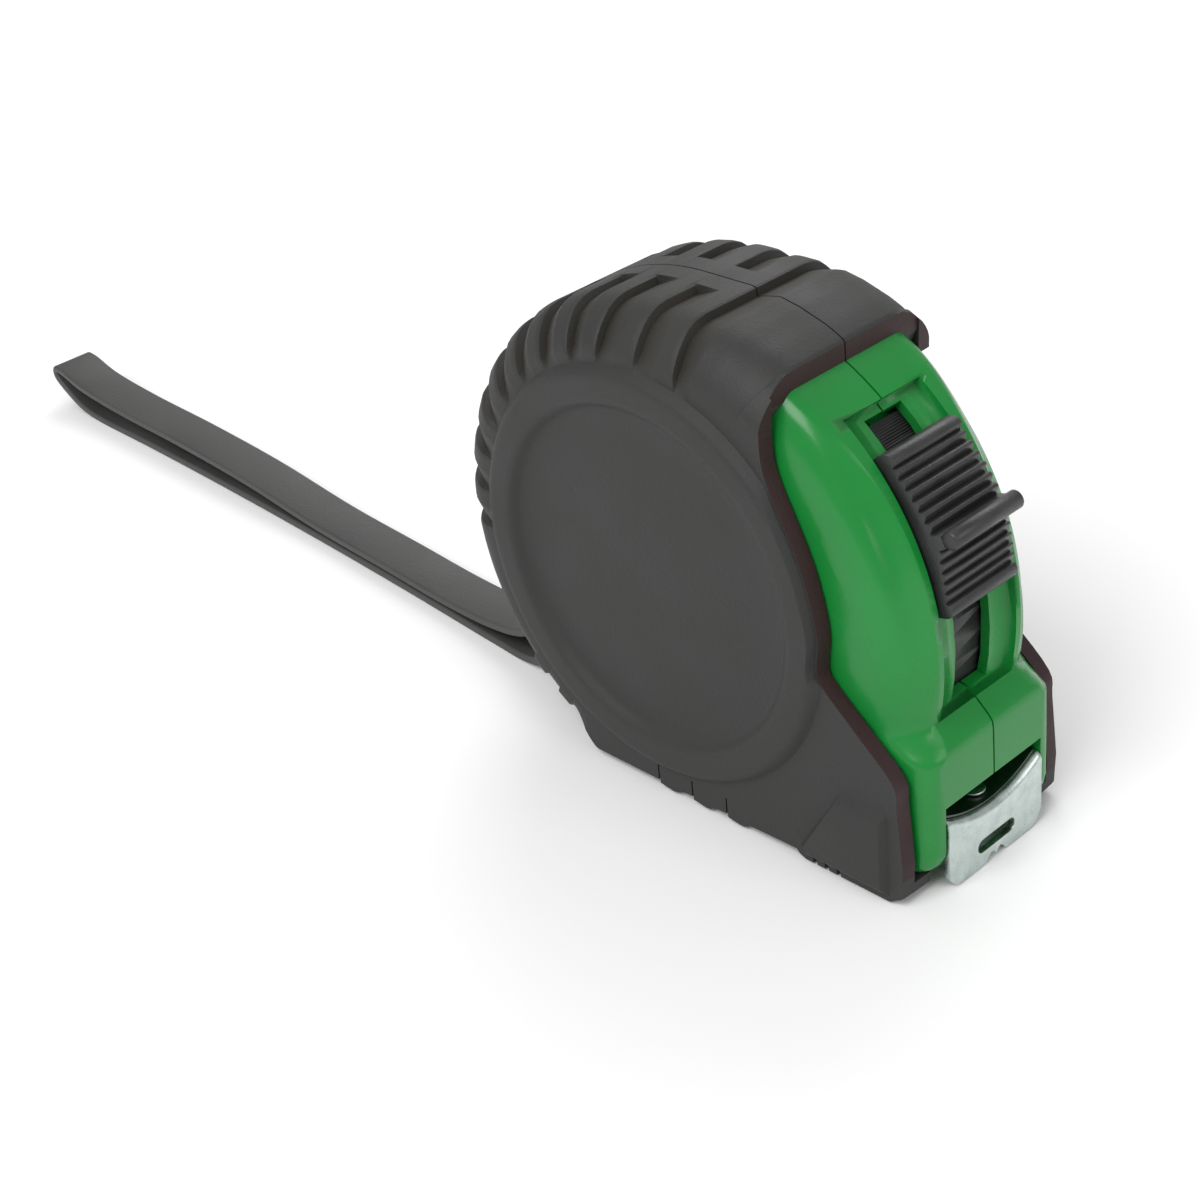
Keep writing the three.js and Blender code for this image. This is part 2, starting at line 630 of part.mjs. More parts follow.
/** The thumb piece rides in the front recess; its neck goes through the slot. */
function lockButton() {
  const base = recessFloor + FIT;
  const skin = base + BUTTON_HEIGHT;
  const at = (radius, angle) => polar(radius, angle, FRONT_X, FRONT_Z);
  const profile = [
    ...arc(base, BUTTON_TOP, BUTTON_FOOT, 6, FRONT_X, FRONT_Z),
    at(skin - 1, BUTTON_FOOT + 0.005),
    at(skin - 0.6, BUTTON_FOOT + 0.09),
    at(skin + 0.9, BAR_ANGLE - 0.045),
    at(base + BAR_STANDOFF - 0.6, BAR_ANGLE - 0.012),
    at(base + BAR_STANDOFF - 0.6, BAR_ANGLE + 0.012),
    at(skin + 1.4, BAR_ANGLE + 0.045),
    at(skin + 0.1, BUTTON_TOP - 0.13),
    at(skin - 0.1, BUTTON_TOP - 0.05),
    at(base + 0.7, BUTTON_TOP),
  ];
  const thumb = prism(profile, -BUTTON_HALF_WIDTH, BUTTON_HALF_WIDTH);
  const bar = pinAlongY(BAR_RADIUS, -BUTTON_HALF_WIDTH, BUTTON_HALF_WIDTH,
    at(base + BAR_STANDOFF, BAR_ANGLE), 14);
  const neck = prism(frontSector(beltOuter + 0.15, base + 0.3, BUTTON_FOOT + 0.05, BUTTON_TOP - 0.05, 5),
    -neckHalf, neckHalf);
  return thumb.add(bar).add(neck);
}

piece("lock_button", lockButton(), BLACK, 0.6);
piece("lock_belt", prism(frontSector(beltInner, beltOuter, BELT_FOOT, BELT_TOP, 14),
  -BELT_HALF_WIDTH, BELT_HALF_WIDTH), BLACK, 0.65);
piece("brake_pad", prism(
  frontSector(beltInner, beltOuter, BELT_FOOT - 0.006 - PAD_LENGTH, BELT_FOOT - 0.006, 3),
  -PAD_HALF_WIDTH, PAD_HALF_WIDTH), RUBBER, 0.9);

// ---------------------------------------------------------------- strap

/** How far the strap has wandered sideways by the time it reaches x. */
function strapDrift(x) {
  const t = (strapPin[0] - x) / STRAP_LENGTH;
  return -3.8 + 17.9 * t - 7.1 * t * t;
}

/** The folded strap: round the pin, back along the ground, and over itself at the far end. */
function wristStrap() {
  const [px, pz] = strapPin;
  const ground = -standHeight + STRAP_THICKNESS / 2;
  const hug = STRAP_PIN_RADIUS + FIT + STRAP_THICKNESS / 2;
  const end = px - STRAP_LENGTH;
  const path = [
    ...arc(hug, 0.6 * Math.PI, -0.55 * Math.PI, 7, px, pz),
    [px - 5.6, pz - 5.0], [px - 11, pz - 9], [px - 17, ground + 0.35], [px - 25, ground], [px - 50, ground],
    [px - 90, ground], [px - 130, ground], [end + 14, ground], [end + 8.5, ground + 0.9],
    [end + 3.6, ground + 3.2], [end + 1, ground + 5.2], [end + 1.2, ground + 6.5], [end + 3.2, ground + 6.6],
    [end + 10, ground + 5], [end + 24, ground + 4], [end + 44, ground + 3.8],
    [end + 66, ground + 3.2], [end + 88, ground + 1.8], [px - 55, ground + 1.7], [px - 38, ground + 1.75],
    [px - 26, ground + 2.7], [px - 18, ground + 4.6], [px - 11, pz - 2.7], [px - 5.4, pz + 0.6],
  ].map(([x, z]) => new THREE.Vector3(x, 0, z));
  const curve = new THREE.CatmullRomCurve3(path, true, "centripetal");
  const steps = 3 * path.length;
  const points = curve.getPoints(steps).slice(0, steps);
  const half = STRAP_THICKNESS / 2;
  const offset = (side) => points.map((p, i) => {
    const ahead = points[(i + 1) % steps];
    const behind = points[(i + steps - 1) % steps];
    const length = Math.hypot(ahead.x - behind.x, ahead.z - behind.z);
    return [p.x + (side * half * (ahead.z - behind.z)) / length,
      Math.max(p.z - (side * half * (ahead.x - behind.x)) / length, -standHeight)];
  });
  const loops = [offset(1), offset(-1)].map((loop) => prism(loop, -STRAP_HALF_WIDTH, STRAP_HALF_WIDTH));
  const [outer, inner] = loops[0].volume() > loops[1].volume() ? loops : [loops[1], loops[0]];
  const band = toGeometry(outer.subtract(inner));
  const position = band.attributes.position;
  for (let i = 0; i < position.count; i += 1) {
    position.setY(i, position.getY(i) + strapDrift(position.getX(i)));
  }
  return solid(band);
}

piece("strap_pin", pinAlongY(STRAP_PIN_RADIUS, -pinHalf, pinHalf, strapPin), STEEL, 0.35, 1);
piece("wrist_strap", wristStrap(), RUBBER, 0.7);

// ---------------------------------------------------------------- belt clip

/** Spring steel clip: a foot screwed to the disc, and a leaf that stands off the case. */
function beltClip() {
  const seat = caseHalf + 0.1;
  const leaf = seat + CLIP_GAP;
  const path = [[seat, clipZ + 5], [seat, clipZ - 4.5], [leaf, clipZ - 9], [leaf - 0.5, -18], [leaf + 1.5, -22]];
  const back = path.map(([y, z], i) => [y + CLIP_THICKNESS, z + (i === 1 ? 0.5 : 0) + (i === 2 ? 0.5 : 0)]);
  const points = [...path, ...back.reverse()].map(([y, z]) => new THREE.Vector2(y, z));
  const geometry = new THREE.ExtrudeGeometry(new THREE.Shape(points), {
    depth: 2 * CLIP_HALF_WIDTH, bevelEnabled: false });
  geometry.applyMatrix4(new THREE.Matrix4().makeBasis(
    new THREE.Vector3(0, 1, 0), new THREE.Vector3(0, 0, 1), new THREE.Vector3(1, 0, 0)));
  geometry.translate(-CLIP_HALF_WIDTH, 0, 0);
  return solid(geometry).subtract(
    pinAlongY(SCREW_RADIUS + 0.15, caseHalf - 1, ringTop + 9, [0, clipZ], 12));
}

const clipFace = caseHalf + 0.1 + CLIP_THICKNESS;
piece("belt_clip", beltClip(), STEEL, 0.3, 1);
piece("clip_screw", pinAlongY(SCREW_RADIUS - 0.05, jacketInner + 0.1, clipFace + 0.3, [0, clipZ], 12).add(
  pinAlongY(SCREW_HEAD_RADIUS, clipFace + 0.1, clipFace + 1.3, [0, clipZ], 16)), STEEL, 0.35, 1);

tapeMeasure.position.z = standHeight;

export default tapeMeasure;
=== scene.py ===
"""Looks of a pocket tape measure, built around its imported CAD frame.

Shapes are written in millimetres about the reel's axis: +X out of the mouth, +Z up, and the
case parts at y = 0. place() lifts them into the frame, whose z = 0 is the standing surface.
"""

import logging
import math
from dataclasses import dataclass, field
from enum import Enum
from typing import Callable, Sequence

import bmesh
import bpy
from mathutils import Matrix, Vector

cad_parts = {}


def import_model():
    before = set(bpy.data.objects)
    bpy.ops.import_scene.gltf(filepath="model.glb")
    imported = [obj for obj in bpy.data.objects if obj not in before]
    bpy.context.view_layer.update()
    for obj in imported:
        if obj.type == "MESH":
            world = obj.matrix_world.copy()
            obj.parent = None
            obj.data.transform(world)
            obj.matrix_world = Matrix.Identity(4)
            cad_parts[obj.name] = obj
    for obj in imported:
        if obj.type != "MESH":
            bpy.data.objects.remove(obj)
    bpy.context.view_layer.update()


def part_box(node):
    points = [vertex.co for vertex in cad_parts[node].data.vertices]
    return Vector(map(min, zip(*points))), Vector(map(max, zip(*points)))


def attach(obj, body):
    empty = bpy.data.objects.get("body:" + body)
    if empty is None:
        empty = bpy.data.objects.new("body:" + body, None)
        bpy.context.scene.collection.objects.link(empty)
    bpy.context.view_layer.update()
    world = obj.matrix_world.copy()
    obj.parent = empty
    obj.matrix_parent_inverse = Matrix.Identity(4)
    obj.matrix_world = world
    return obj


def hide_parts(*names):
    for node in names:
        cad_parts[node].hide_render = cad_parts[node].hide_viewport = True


LOG = logging.getLogger("tape_measure")
MM = 0.001
AXIS_HEIGHT = 34.5  # of the reel's axis over the standing surface
FRONT = (4.3, -2.6)  # centre of the front curve that the lock slides on
FRONT_RADIUS = 37.8
BLADE_Z = -24.75
REAR_X = -1.2
REAR_RADIUS = 37.3
SIDE_Y = 16.3  # flat side of the jacket
LINING_Y = 14.0  # inner side of the jacket
CLIP_Z = 14.2  # height of the clip's screw
SOLE_Z = -34.5  # standing surface
PIN = (-22.603, -22.368)  # strap pin

Point = tuple[float, float, float]
Pair = tuple[float, float]


class Body(Enum):
    """Bodies of the frame that pieces ride on."""

    CASE = "case"
    BLADE = "blade"
    HOOK = "hook"
    LOCK = "lock"
    STRAP = "strap"


class Side(Enum):
    """The two halves of the case, as the sign of y."""

    LEFT = -1
    RIGHT = 1


# ---------------------------------------------------------------- small geometry


def place(point: Point) -> Point:
    """Frame coordinates in metres of a point in millimetres about the reel's axis."""
    return point[0] * MM, point[1] * MM, (point[2] + AXIS_HEIGHT) * MM


def polar(radius: float, degrees: float, centre: Pair = (0.0, 0.0)) -> Pair:
    """Point at a distance and angle from a centre, in the XZ plane."""
    angle = math.radians(degrees)
    return centre[0] + radius * math.cos(angle), centre[1] + radius * math.sin(angle)


def blend(low: float, high: float, share: float) -> float:
    """Value between low and high at a share from 0 to 1."""
    return low + (high - low) * share


def smooth(value: float, start: float, end: float) -> float:
    """Share from 0 at start to 1 at end, with soft ends."""
    t = min(1.0, max(0.0, (value - start) / (end - start)))
    return t * t * (3 - 2 * t)


def spline(points: Sequence[Sequence[float]], samples: int) -> list[tuple[float, ...]]:
    """Points of a smooth open curve through the given points.

    Args:
        points: Points of any dimension that the curve passes through.
        samples: Stretches made between two points.

    Returns:
        The points of the curve, both ends included.
    """
    padded = [points[0], *points, points[-1]]
    curve = []
    for a, b, c, d in zip(padded, padded[1:], padded[2:], padded[3:]):
        for k in range(samples):
            t = k / samples
            curve.append(tuple(
                0.5 * (2 * q + (r - p) * t + (2 * p - 5 * q + 4 * r - s) * t * t
                       + (3 * q - p - 3 * r + s) * t ** 3)
                for p, q, r, s in zip(a, b, c, d)))
    curve.append(tuple(points[-1]))
    return curve


def new_object(name: str, points: Sequence[Point], faces: Sequence[Sequence[int]]) -> bpy.types.Object:
    """A mesh object in the frame, merged and with its faces turned outwards.

    Args:
        name: Piece name.
        points: Vertices in millimetres about the reel's axis.
        faces: Vertex numbers of each face.

    Returns:
        The linked object, which sits at the origin.
    """
    mesh = bpy.data.meshes.new(name)
    mesh.from_pydata([place(p) for p in points], [], faces)
    obj = bpy.data.objects.new(name, mesh)
    bpy.context.scene.collection.objects.link(obj)
    tidy(obj)
    return obj


def tidy(obj: bpy.types.Object, distance: float = 0.002 * MM) -> None:
    """Merges doubles of a closed mesh and turns its faces outwards.

    Args:
        obj: The object.
        distance: How near two vertices have to be, in metres.
    """
    work = bmesh.new()
    work.from_mesh(obj.data)
    bmesh.ops.remove_doubles(work, verts=work.verts, dist=distance)
    bmesh.ops.recalc_face_normals(work, faces=work.faces)
    work.to_mesh(obj.data)
    work.free()


def loft(name: str, rings: Sequence[Sequence[Point]], closed: bool = False) -> bpy.types.Object:
    """A solid through rings of points, capped at its ends or closed on itself.

    Args:
        name: Piece name.
        rings: Rings with the same number of points, in order.
        closed: Whether the last ring joins the first, in place of caps.

    Returns:
        The solid as an object.
    """
    count, width = len(rings), len(rings[0])
    faces: list[list[int]] = []
    for i in range(count if closed else count - 1):
        n = (i + 1) % count
        for k in range(width):
            m = (k + 1) % width
            faces.append([i * width + k, i * width + m, n * width + m, n * width + k])
    if not closed:
        faces.append(list(range(width)))
        faces.append([(count - 1) * width + k for k in reversed(range(width))])
    return new_object(name, [p for ring in rings for p in ring], faces)


def prism(name: str, outline: Sequence[Pair], y0: float, y1: float) -> bpy.types.Object:
    """A side outline in XZ made solid from y0 to y1."""
    return loft(name, [[(x, y, z) for x, z in outline] for y in (y0, y1)])


def disc_outline(radius: float, centre: Pair, steps: int = 28) -> list[Pair]:
    """A round outline in XZ."""
    return [polar(radius, 360 * k / steps, centre) for k in range(steps)]


def bake(obj: bpy.types.Object) -> None:
    """Turns an object's live modifiers into its mesh."""
    graph = bpy.context.evaluated_depsgraph_get()
    mesh = bpy.data.meshes.new_from_object(
        obj.evaluated_get(graph), preserve_all_data_layers=True, depsgraph=graph)
    obj.modifiers.clear()
    old, obj.data = obj.data, mesh
    bpy.data.meshes.remove(old)


def carve(obj: bpy.types.Object, tool: bpy.types.Object, operation: str = "DIFFERENCE") -> None:
    """Cuts a tool out of an object, or joins it on, and removes the tool.

    Args:
        obj: The object that is cut.
        tool: A closed solid.
        operation: DIFFERENCE to cut, or UNION to join.
    """
    cut = obj.modifiers.new("carve", "BOOLEAN")
    cut.object, cut.operation, cut.solver = tool, operation, "EXACT"
    bake(obj)
    mesh = tool.data
    bpy.data.objects.remove(tool)
    bpy.data.meshes.remove(mesh)


def soften(obj: bpy.types.Object, degrees: float = 32.0) -> None:
    """Smooth shading that keeps edges sharper than an angle."""
    obj.data.shade_smooth()
    obj.data.set_sharp_from_angle(angle=math.radians(degrees))


def even_out(obj: bpy.types.Object) -> None:
    """Drops slivers that cutting left and weighs the shading towards large faces."""
    work = bmesh.new()
    work.from_mesh(obj.data)
    bmesh.ops.dissolve_degenerate(work, edges=work.edges, dist=0.01 * MM)
    bmesh.ops.dissolve_limit(work, verts=work.verts, edges=work.edges, angle_limit=math.radians(0.3))
    work.to_mesh(obj.data)
    work.free()
    soften(obj, 28.0)
    weigh = obj.modifiers.new("weigh", "WEIGHTED_NORMAL")
    weigh.keep_sharp, weigh.weight = True, 90
    bake(obj)


def round_edges(obj: bpy.types.Object, width: float, segments: int = 2, degrees: float = 40.0) -> None:
    """Rounds an object's sharp edges by a width in millimetres.

    Args:
        obj: The object.
        width: Width of the rounding.
        segments: Facets across it.
        degrees: Angle from which an edge counts as sharp.
    """
    bevel = obj.modifiers.new("edges", "BEVEL")
    bevel.width, bevel.segments = width * MM, segments
    bevel.limit_method, bevel.angle_limit = "ANGLE", math.radians(degrees)
    bevel.use_clamp_overlap = True
    bake(obj)


def copy_of(node: str, name: str) -> bpy.types.Object:
    """A merged copy of a CAD node, to be shaped further.

    Args:
        node: The node's name.
        name: Name of the copy.

    Returns:
        The copy, with no material.
    """
    obj = bpy.data.objects.new(name, bpy.data.objects[node].data.copy())
    bpy.context.scene.collection.objects.link(obj)
    obj.data.materials.clear()
    tidy(obj, 0.005 * MM)
    return obj


# ---------------------------------------------------------------- nodes


def add_node(tree: bpy.types.NodeTree, kind: str, **inputs: object) -> bpy.types.Node:
    """Adds a node and sets or links its inputs.

    Args:
        tree: The tree that the node joins.
        kind: Type name of the node.
        inputs: A value or an output socket for each input, by its name with _ for a space.

    Returns:
        The node.
    """
    node = tree.nodes.new(kind)
    for label, value in inputs.items():
        feed(tree, node.inputs[label.replace("_", " ")], value)
    return node


def feed(tree: bpy.types.NodeTree, socket: bpy.types.NodeSocket, value: object) -> None:
    """Links a socket to an output, or sets its value."""
    if isinstance(value, bpy.types.NodeSocket):
        tree.links.new(value, socket)
    else:
        socket.default_value = value


def calculate(tree: bpy.types.NodeTree, operation: str, first: object, second: object) -> bpy.types.NodeSocket:
    """Adds a math node.

    Args:
        tree: The tree that the node joins.
        operation: What it does.
        first: Its first value or socket.
        second: Its second value or socket.

    Returns:
        The socket of the result.
    """
    node = tree.nodes.new("ShaderNodeMath")
    node.operation = operation
    feed(tree, node.inputs[0], first)
    feed(tree, node.inputs[1], second)
    return node.outputs[0]


# ---------------------------------------------------------------- shader groups


@dataclass
class Toolbox:
    """Node groups that several finishes share, each built once."""

    groups: dict[str, bpy.types.NodeTree] = field(default_factory=dict)

    def start(self, name: str, inputs: dict[str, float], outputs: Sequence[str]) -> bpy.types.NodeTree:
        """Makes an empty group with float inputs and outputs.

        Args:
            name: Group name.
            inputs: Default value of each input.
            outputs: Names of the outputs.

        Returns:
            The node tree, with its input and output nodes in it.
        """
        tree = bpy.data.node_groups.new(name, "ShaderNodeTree")
        for label, value in inputs.items():
            socket = tree.interface.new_socket(name=label, in_out="INPUT", socket_type="NodeSocketFloat")
            socket.default_value = value
        for label in outputs:
            tree.interface.new_socket(name=label, in_out="OUTPUT", socket_type="NodeSocketFloat")
        tree.nodes.new("NodeGroupInput").name = "in"
        tree.nodes.new("NodeGroupOutput").name = "out"
        self.groups[name] = tree
        return tree

    def sources(self, tree: bpy.types.NodeTree) -> tuple[bpy.types.NodeSocket, object]:
        """Object coordinates in a group, and the group's own inputs."""
        return add_node(tree, "ShaderNodeTexCoord").outputs["Object"], tree.nodes["in"].outputs

    def grain(self) -> bpy.types.NodeTree:
        """Moulded grain: a fine height and a slow mottle."""
        if "moulded_grain" in self.groups:
            return self.groups["moulded_grain"]
        tree = self.start("moulded_grain", {"Scale": 1500.0, "Mottle Scale": 60.0}, ("Height", "Mottle"))
        where, given = self.sources(tree)
        for label, socket, detail in (("Height", "Scale", 3.0), ("Mottle", "Mottle Scale", 4.0)):
            noise = add_node(tree, "ShaderNodeTexNoise", Vector=where, Scale=given[socket], Detail=detail)
            spread = add_node(tree, "ShaderNodeMapRange", Value=noise.outputs["Fac"], From_Min=0.3, From_Max=0.7)
            tree.links.new(spread.outputs["Result"], tree.nodes["out"].inputs[label])
        return tree

    def dust(self) -> bpy.types.NodeTree:
        """Specks of dust, as a mask, thicker in patches."""
        if "dust_specks" in self.groups:
            return self.groups["dust_specks"]
        tree = self.start("dust_specks", {"Scale": 900.0, "Amount": 0.1}, ("Mask",))
        where, given = self.sources(tree)
        cells = add_node(tree, "ShaderNodeTexVoronoi", Vector=where, Scale=given["Scale"])
        patches = add_node(tree, "ShaderNodeTexNoise", Vector=where, Scale=130.0)
        size = calculate(tree, "MULTIPLY", patches.outputs["Fac"], given["Amount"])
        edge = add_node(tree, "ShaderNodeMapRange", Value=cells.outputs["Distance"], From_Min=0.0, From_Max=size,
                        To_Min=1.0, To_Max=0.0)
        tree.links.new(edge.outputs["Result"], tree.nodes["out"].inputs["Mask"])
        return tree

    def rubbed(self) -> bpy.types.NodeTree:
        """Long fine rub marks along X, as a mask."""
        if "rub_marks" in self.groups:
            return self.groups["rub_marks"]
        tree = self.start("rub_marks", {"Scale": 700.0}, ("Mask",))
        where, given = self.sources(tree)
        stretch = add_node(tree, "ShaderNodeMapping", Vector=where, Scale=(0.12, 1.0, 1.0))
        noise = add_node(tree, "ShaderNodeTexNoise", Vector=stretch.outputs["Vector"], Scale=given["Scale"],
                         Detail=2.0)
        spread = add_node(tree, "ShaderNodeMapRange", Value=noise.outputs["Fac"], From_Min=0.45, From_Max=0.75)
        tree.links.new(spread.outputs["Result"], tree.nodes["out"].inputs["Mask"])
        return tree


@dataclass(frozen=True)
class Finish:
    """A surface finish, from which its material is built.

    Colours are linear red, green and blue.
    """

    name: str
    slot: str
    colour: Point
    shade: Point
    roughness: Pair
    metallic: float = 0.0
    grain_scale: float = 1500.0
    grain_depth: float = 0.01  # millimetres
    mottle_scale: float = 60.0
    dust: float = 0.0
    dust_colour: Point = (0.35, 0.3, 0.22)
    dust_share: float = 0.6
    coat: float = 0.0
    coat_roughness: float = 0.1
    specular: float = 0.5
    lip_colour: Point | None = None
    groove_colour: Point | None = None
    rub: float = 0.0

    def mix(self, tree: bpy.types.NodeTree, first: object, second: Point, mask: bpy.types.NodeSocket,
            share: float = 1.0) -> bpy.types.NodeSocket:
        """Mixes a second colour over a first by a mask.

        Args:
            tree: The material's tree.
            first: A colour, or the socket that carries it.
            second: The colour laid over it.
            mask: Where it is laid.
            share: How much of it is laid where the mask is 1.

        Returns:
            The socket of the mixed colour.
        """
        if share < 1.0:
            mask = calculate(tree, "MULTIPLY", mask, share)
        node = tree.nodes.new("ShaderNodeMix")
        node.data_type = "RGBA"
        feed(tree, node.inputs[0], mask)
        feed(tree, node.inputs[6], first if isinstance(first, bpy.types.NodeSocket) else (*first, 1.0))
        node.inputs[7].default_value = (*second, 1.0)
        return node.outputs[2]

    def group(self, tree: bpy.types.NodeTree, shared: bpy.types.NodeTree,
              values: dict[str, float]) -> bpy.types.Node:
        """Places a shared group in the material with its own values.

        Args:
            tree: The material's tree.
            shared: The group.
            values: The value of each of its inputs.

        Returns:
            The group's node.
        """
        node = tree.nodes.new("ShaderNodeGroup")
        node.node_tree = shared
        for label, value in values.items():
            node.inputs[label].default_value = value
        return node

    def attribute(self, tree: bpy.types.NodeTree, name: str) -> bpy.types.NodeSocket:
        """The value of one of the mesh's own attributes."""
        node = tree.nodes.new("ShaderNodeAttribute")
        node.attribute_name = name
        return node.outputs["Fac"]

    def paint(self, tree: bpy.types.NodeTree, colour: bpy.types.NodeSocket) -> bpy.types.NodeSocket:
        """Anything printed over the base colour; nothing on a plain finish."""
        return colour

    def material(self, tools: Toolbox) -> bpy.types.Material:
        """Builds the material.

        Args:
            tools: The shared node groups.

        Returns:
            The finished material.
        """
        made = bpy.data.materials.new(self.name)
        made.use_nodes = True
        tree = made.node_tree
        shader = tree.nodes["Principled BSDF"]
        grain = self.group(tree, tools.grain(), {"Scale": self.grain_scale, "Mottle Scale": self.mottle_scale})
        colour = self.mix(tree, self.colour, self.shade, grain.outputs["Mottle"])
        if self.groove_colour:
            colour = self.mix(tree, colour, self.groove_colour, self.attribute(tree, "groove"), 0.8)
        if self.lip_colour:
            colour = self.mix(tree, colour, self.lip_colour, self.attribute(tree, "lip"))
        if self.rub:
            marks = self.group(tree, tools.rubbed(), {"Scale": 900.0})
            bright = tuple(min(1.0, c * 1.5) for c in self.colour)
            colour = self.mix(tree, colour, bright, marks.outputs["Mask"], self.rub)
        if self.dust:
            specks = self.group(tree, tools.dust(), {"Scale": 1100.0, "Amount": self.dust})
            colour = self.mix(tree, colour, self.dust_colour, specks.outputs["Mask"], self.dust_share)
        colour = self.paint(tree, colour)
        tree.links.new(colour, shader.inputs["Base Color"])
        rough = tree.nodes.new("ShaderNodeMapRange")
        rough.inputs["To Min"].default_value, rough.inputs["To Max"].default_value = self.roughness
        tree.links.new(grain.outputs["Mottle"], rough.inputs["Value"])
        tree.links.new(rough.outputs["Result"], shader.inputs["Roughness"])
        bump = tree.nodes.new("ShaderNodeBump")
        bump.inputs["Strength"].default_value = 1.0
        bump.inputs["Distance"].default_value = self.grain_depth * MM
        tree.links.new(grain.outputs["Height"], bump.inputs["Height"])
        tree.links.new(bump.outputs["Normal"], shader.inputs["Normal"])
        shader.inputs["Metallic"].default_value = self.metallic
        shader.inputs["Coat Weight"].default_value = self.coat
        shader.inputs["Coat Roughness"].default_value = self.coat_roughness
        shader.inputs["Specular IOR Level"].default_value = self.specular
        return made


@dataclass(frozen=True)
class BladePaint(Finish):
    """Yellow blade paint with a millimetre scale along both edges, and painted shade where the blade runs into the
    mouth.
    """

    ink: Point = (0.01, 0.01, 0.01)
    # painted shade: a dark green colour laid on the blade near the hook in place of the mouth's shadow on it
    painted_mouth_shade: Point = (0.004, 0.016, 0.006)
    # where the painted shade begins, in millimetres along the blade
    painted_mouth_shade_start: float = 34.0

    def stripe(self, tree: bpy.types.NodeTree, along: bpy.types.NodeSocket, pitch: float, width: float,
               across: bpy.types.NodeSocket, reach: float) -> bpy.types.NodeSocket:
        """A mask of marks across the blade.

        Args:
            tree: The material's tree.
            along: Distance along the blade, in metres.
            pitch: Spacing of the marks, in millimetres.
            width: Width of a mark, in millimetres.
            across: Distance from the blade's middle, in metres.
            reach: How near the middle the marks come, in millimetres.

        Returns:
            The mask.
        """
        nearest = calculate(tree, "PINGPONG", along, pitch * MM / 2)
        marks = calculate(tree, "LESS_THAN", nearest, width * MM / 2)
        edge = calculate(tree, "GREATER_THAN", across, reach * MM)
        return calculate(tree, "MULTIPLY", marks, edge)

    def paint(self, tree: bpy.types.NodeTree, colour: bpy.types.NodeSocket) -> bpy.types.NodeSocket:
        """Prints the scale's marks in black, and a painted shade on the blade behind the hook, where the mouth's shadow
        falls.

        Args:
            tree: The material's tree.
            colour: The paint under them.

        Returns:
            The socket of the printed colour.
        """
        where = add_node(tree, "ShaderNodeTexCoord").outputs["Object"]
        split = tree.nodes.new("ShaderNodeSeparateXYZ")
        tree.links.new(where, split.inputs[0])
        across = calculate(tree, "ABSOLUTE", split.outputs["Y"], 0.0)
        for pitch, width, reach in ((1.0, 0.16, 7.9), (5.0, 0.22, 6.9), (10.0, 0.3, 5.6)):
            mask = self.stripe(tree, split.outputs["X"], pitch, width, across, reach)
            colour = self.mix(tree, colour, self.ink, mask)
        # painted shade: the blade turns dark green from here towards the hook, standing in for the shadow inside the
        # mouth
        painted_mouth_shade = add_node(tree, "ShaderNodeMapRange", Value=split.outputs["X"], From_Min=(self.painted_mouth_shade_start - 0.1) * MM,
                        From_Max=(self.painted_mouth_shade_start + 0.1) * MM)
        return self.mix(tree, colour, self.painted_mouth_shade, painted_mouth_shade.outputs["Result"])


GREEN = Finish("green_moulding", "green_plastic", (0.007, 0.2, 0.03), (0.009, 0.22, 0.036), (0.2, 0.3),
               grain_scale=900.0, grain_depth=0.006, mottle_scale=90.0, dust=0.045,
               dust_colour=(0.15, 0.4, 0.2), dust_share=0.4, coat=0.1, coat_roughness=0.18, specular=0.35)
RUBBER = Finish("jacket_rubber", "jacket_rubber", (0.027, 0.027, 0.027), (0.034, 0.034, 0.032), (0.5, 0.68),
                grain_scale=2200.0, grain_depth=0.022, mottle_scale=70.0, dust=0.1,
                dust_colour=(0.16, 0.14, 0.1), lip_colour=(0.03, 0.011, 0.013),
                groove_colour=(0.034, 0.03, 0.022), specular=0.35)
BLACK = Finish("lock_moulding", "black_plastic", (0.02, 0.02, 0.0205), (0.03, 0.03, 0.0305), (0.32, 0.5),
               grain_scale=2600.0, grain_depth=0.018, mottle_scale=240.0, dust=0.13,
               dust_colour=(0.12, 0.12, 0.125), dust_share=0.5)
STRAP_RUBBER = Finish("strap_rubber", "strap_rubber", (0.04, 0.04, 0.039), (0.052, 0.052, 0.05), (0.42, 0.58),
                      grain_scale=1800.0, grain_depth=0.018, dust=0.06, dust_colour=(0.16, 0.16, 0.14))
ZINC = Finish("zinc_plate", "zinc_steel", (0.45, 0.52, 0.5), (0.6, 0.66, 0.64), (0.22, 0.38), metallic=1.0,
              grain_scale=1400.0, grain_depth=0.012, mottle_scale=420.0, rub=0.25)
SCREW_STEEL = Finish("screw_steel", "zinc_steel", (0.45, 0.46, 0.46), (0.55, 0.56, 0.56), (0.25, 0.4),
                     metallic=1.0, grain_depth=0.008, mottle_scale=500.0)
SPRING_STEEL = Finish("spring_steel", "spring_steel", (0.22, 0.24, 0.27), (0.3, 0.31, 0.33), (0.22, 0.36),
                      metallic=1.0, grain_depth=0.006, rub=0.4)
BLADE_COAT = BladePaint("blade_paint", "blade_paint", (0.78, 0.56, 0.03), (0.82, 0.6, 0.04), (0.25, 0.35),
                        grain_depth=0.004, coat=0.4)
REEL_PLASTIC = Finish("reel_plastic", "reel_plastic", (0.62, 0.61, 0.57), (0.68, 0.67, 0.62), (0.4, 0.55),
                      grain_depth=0.01)


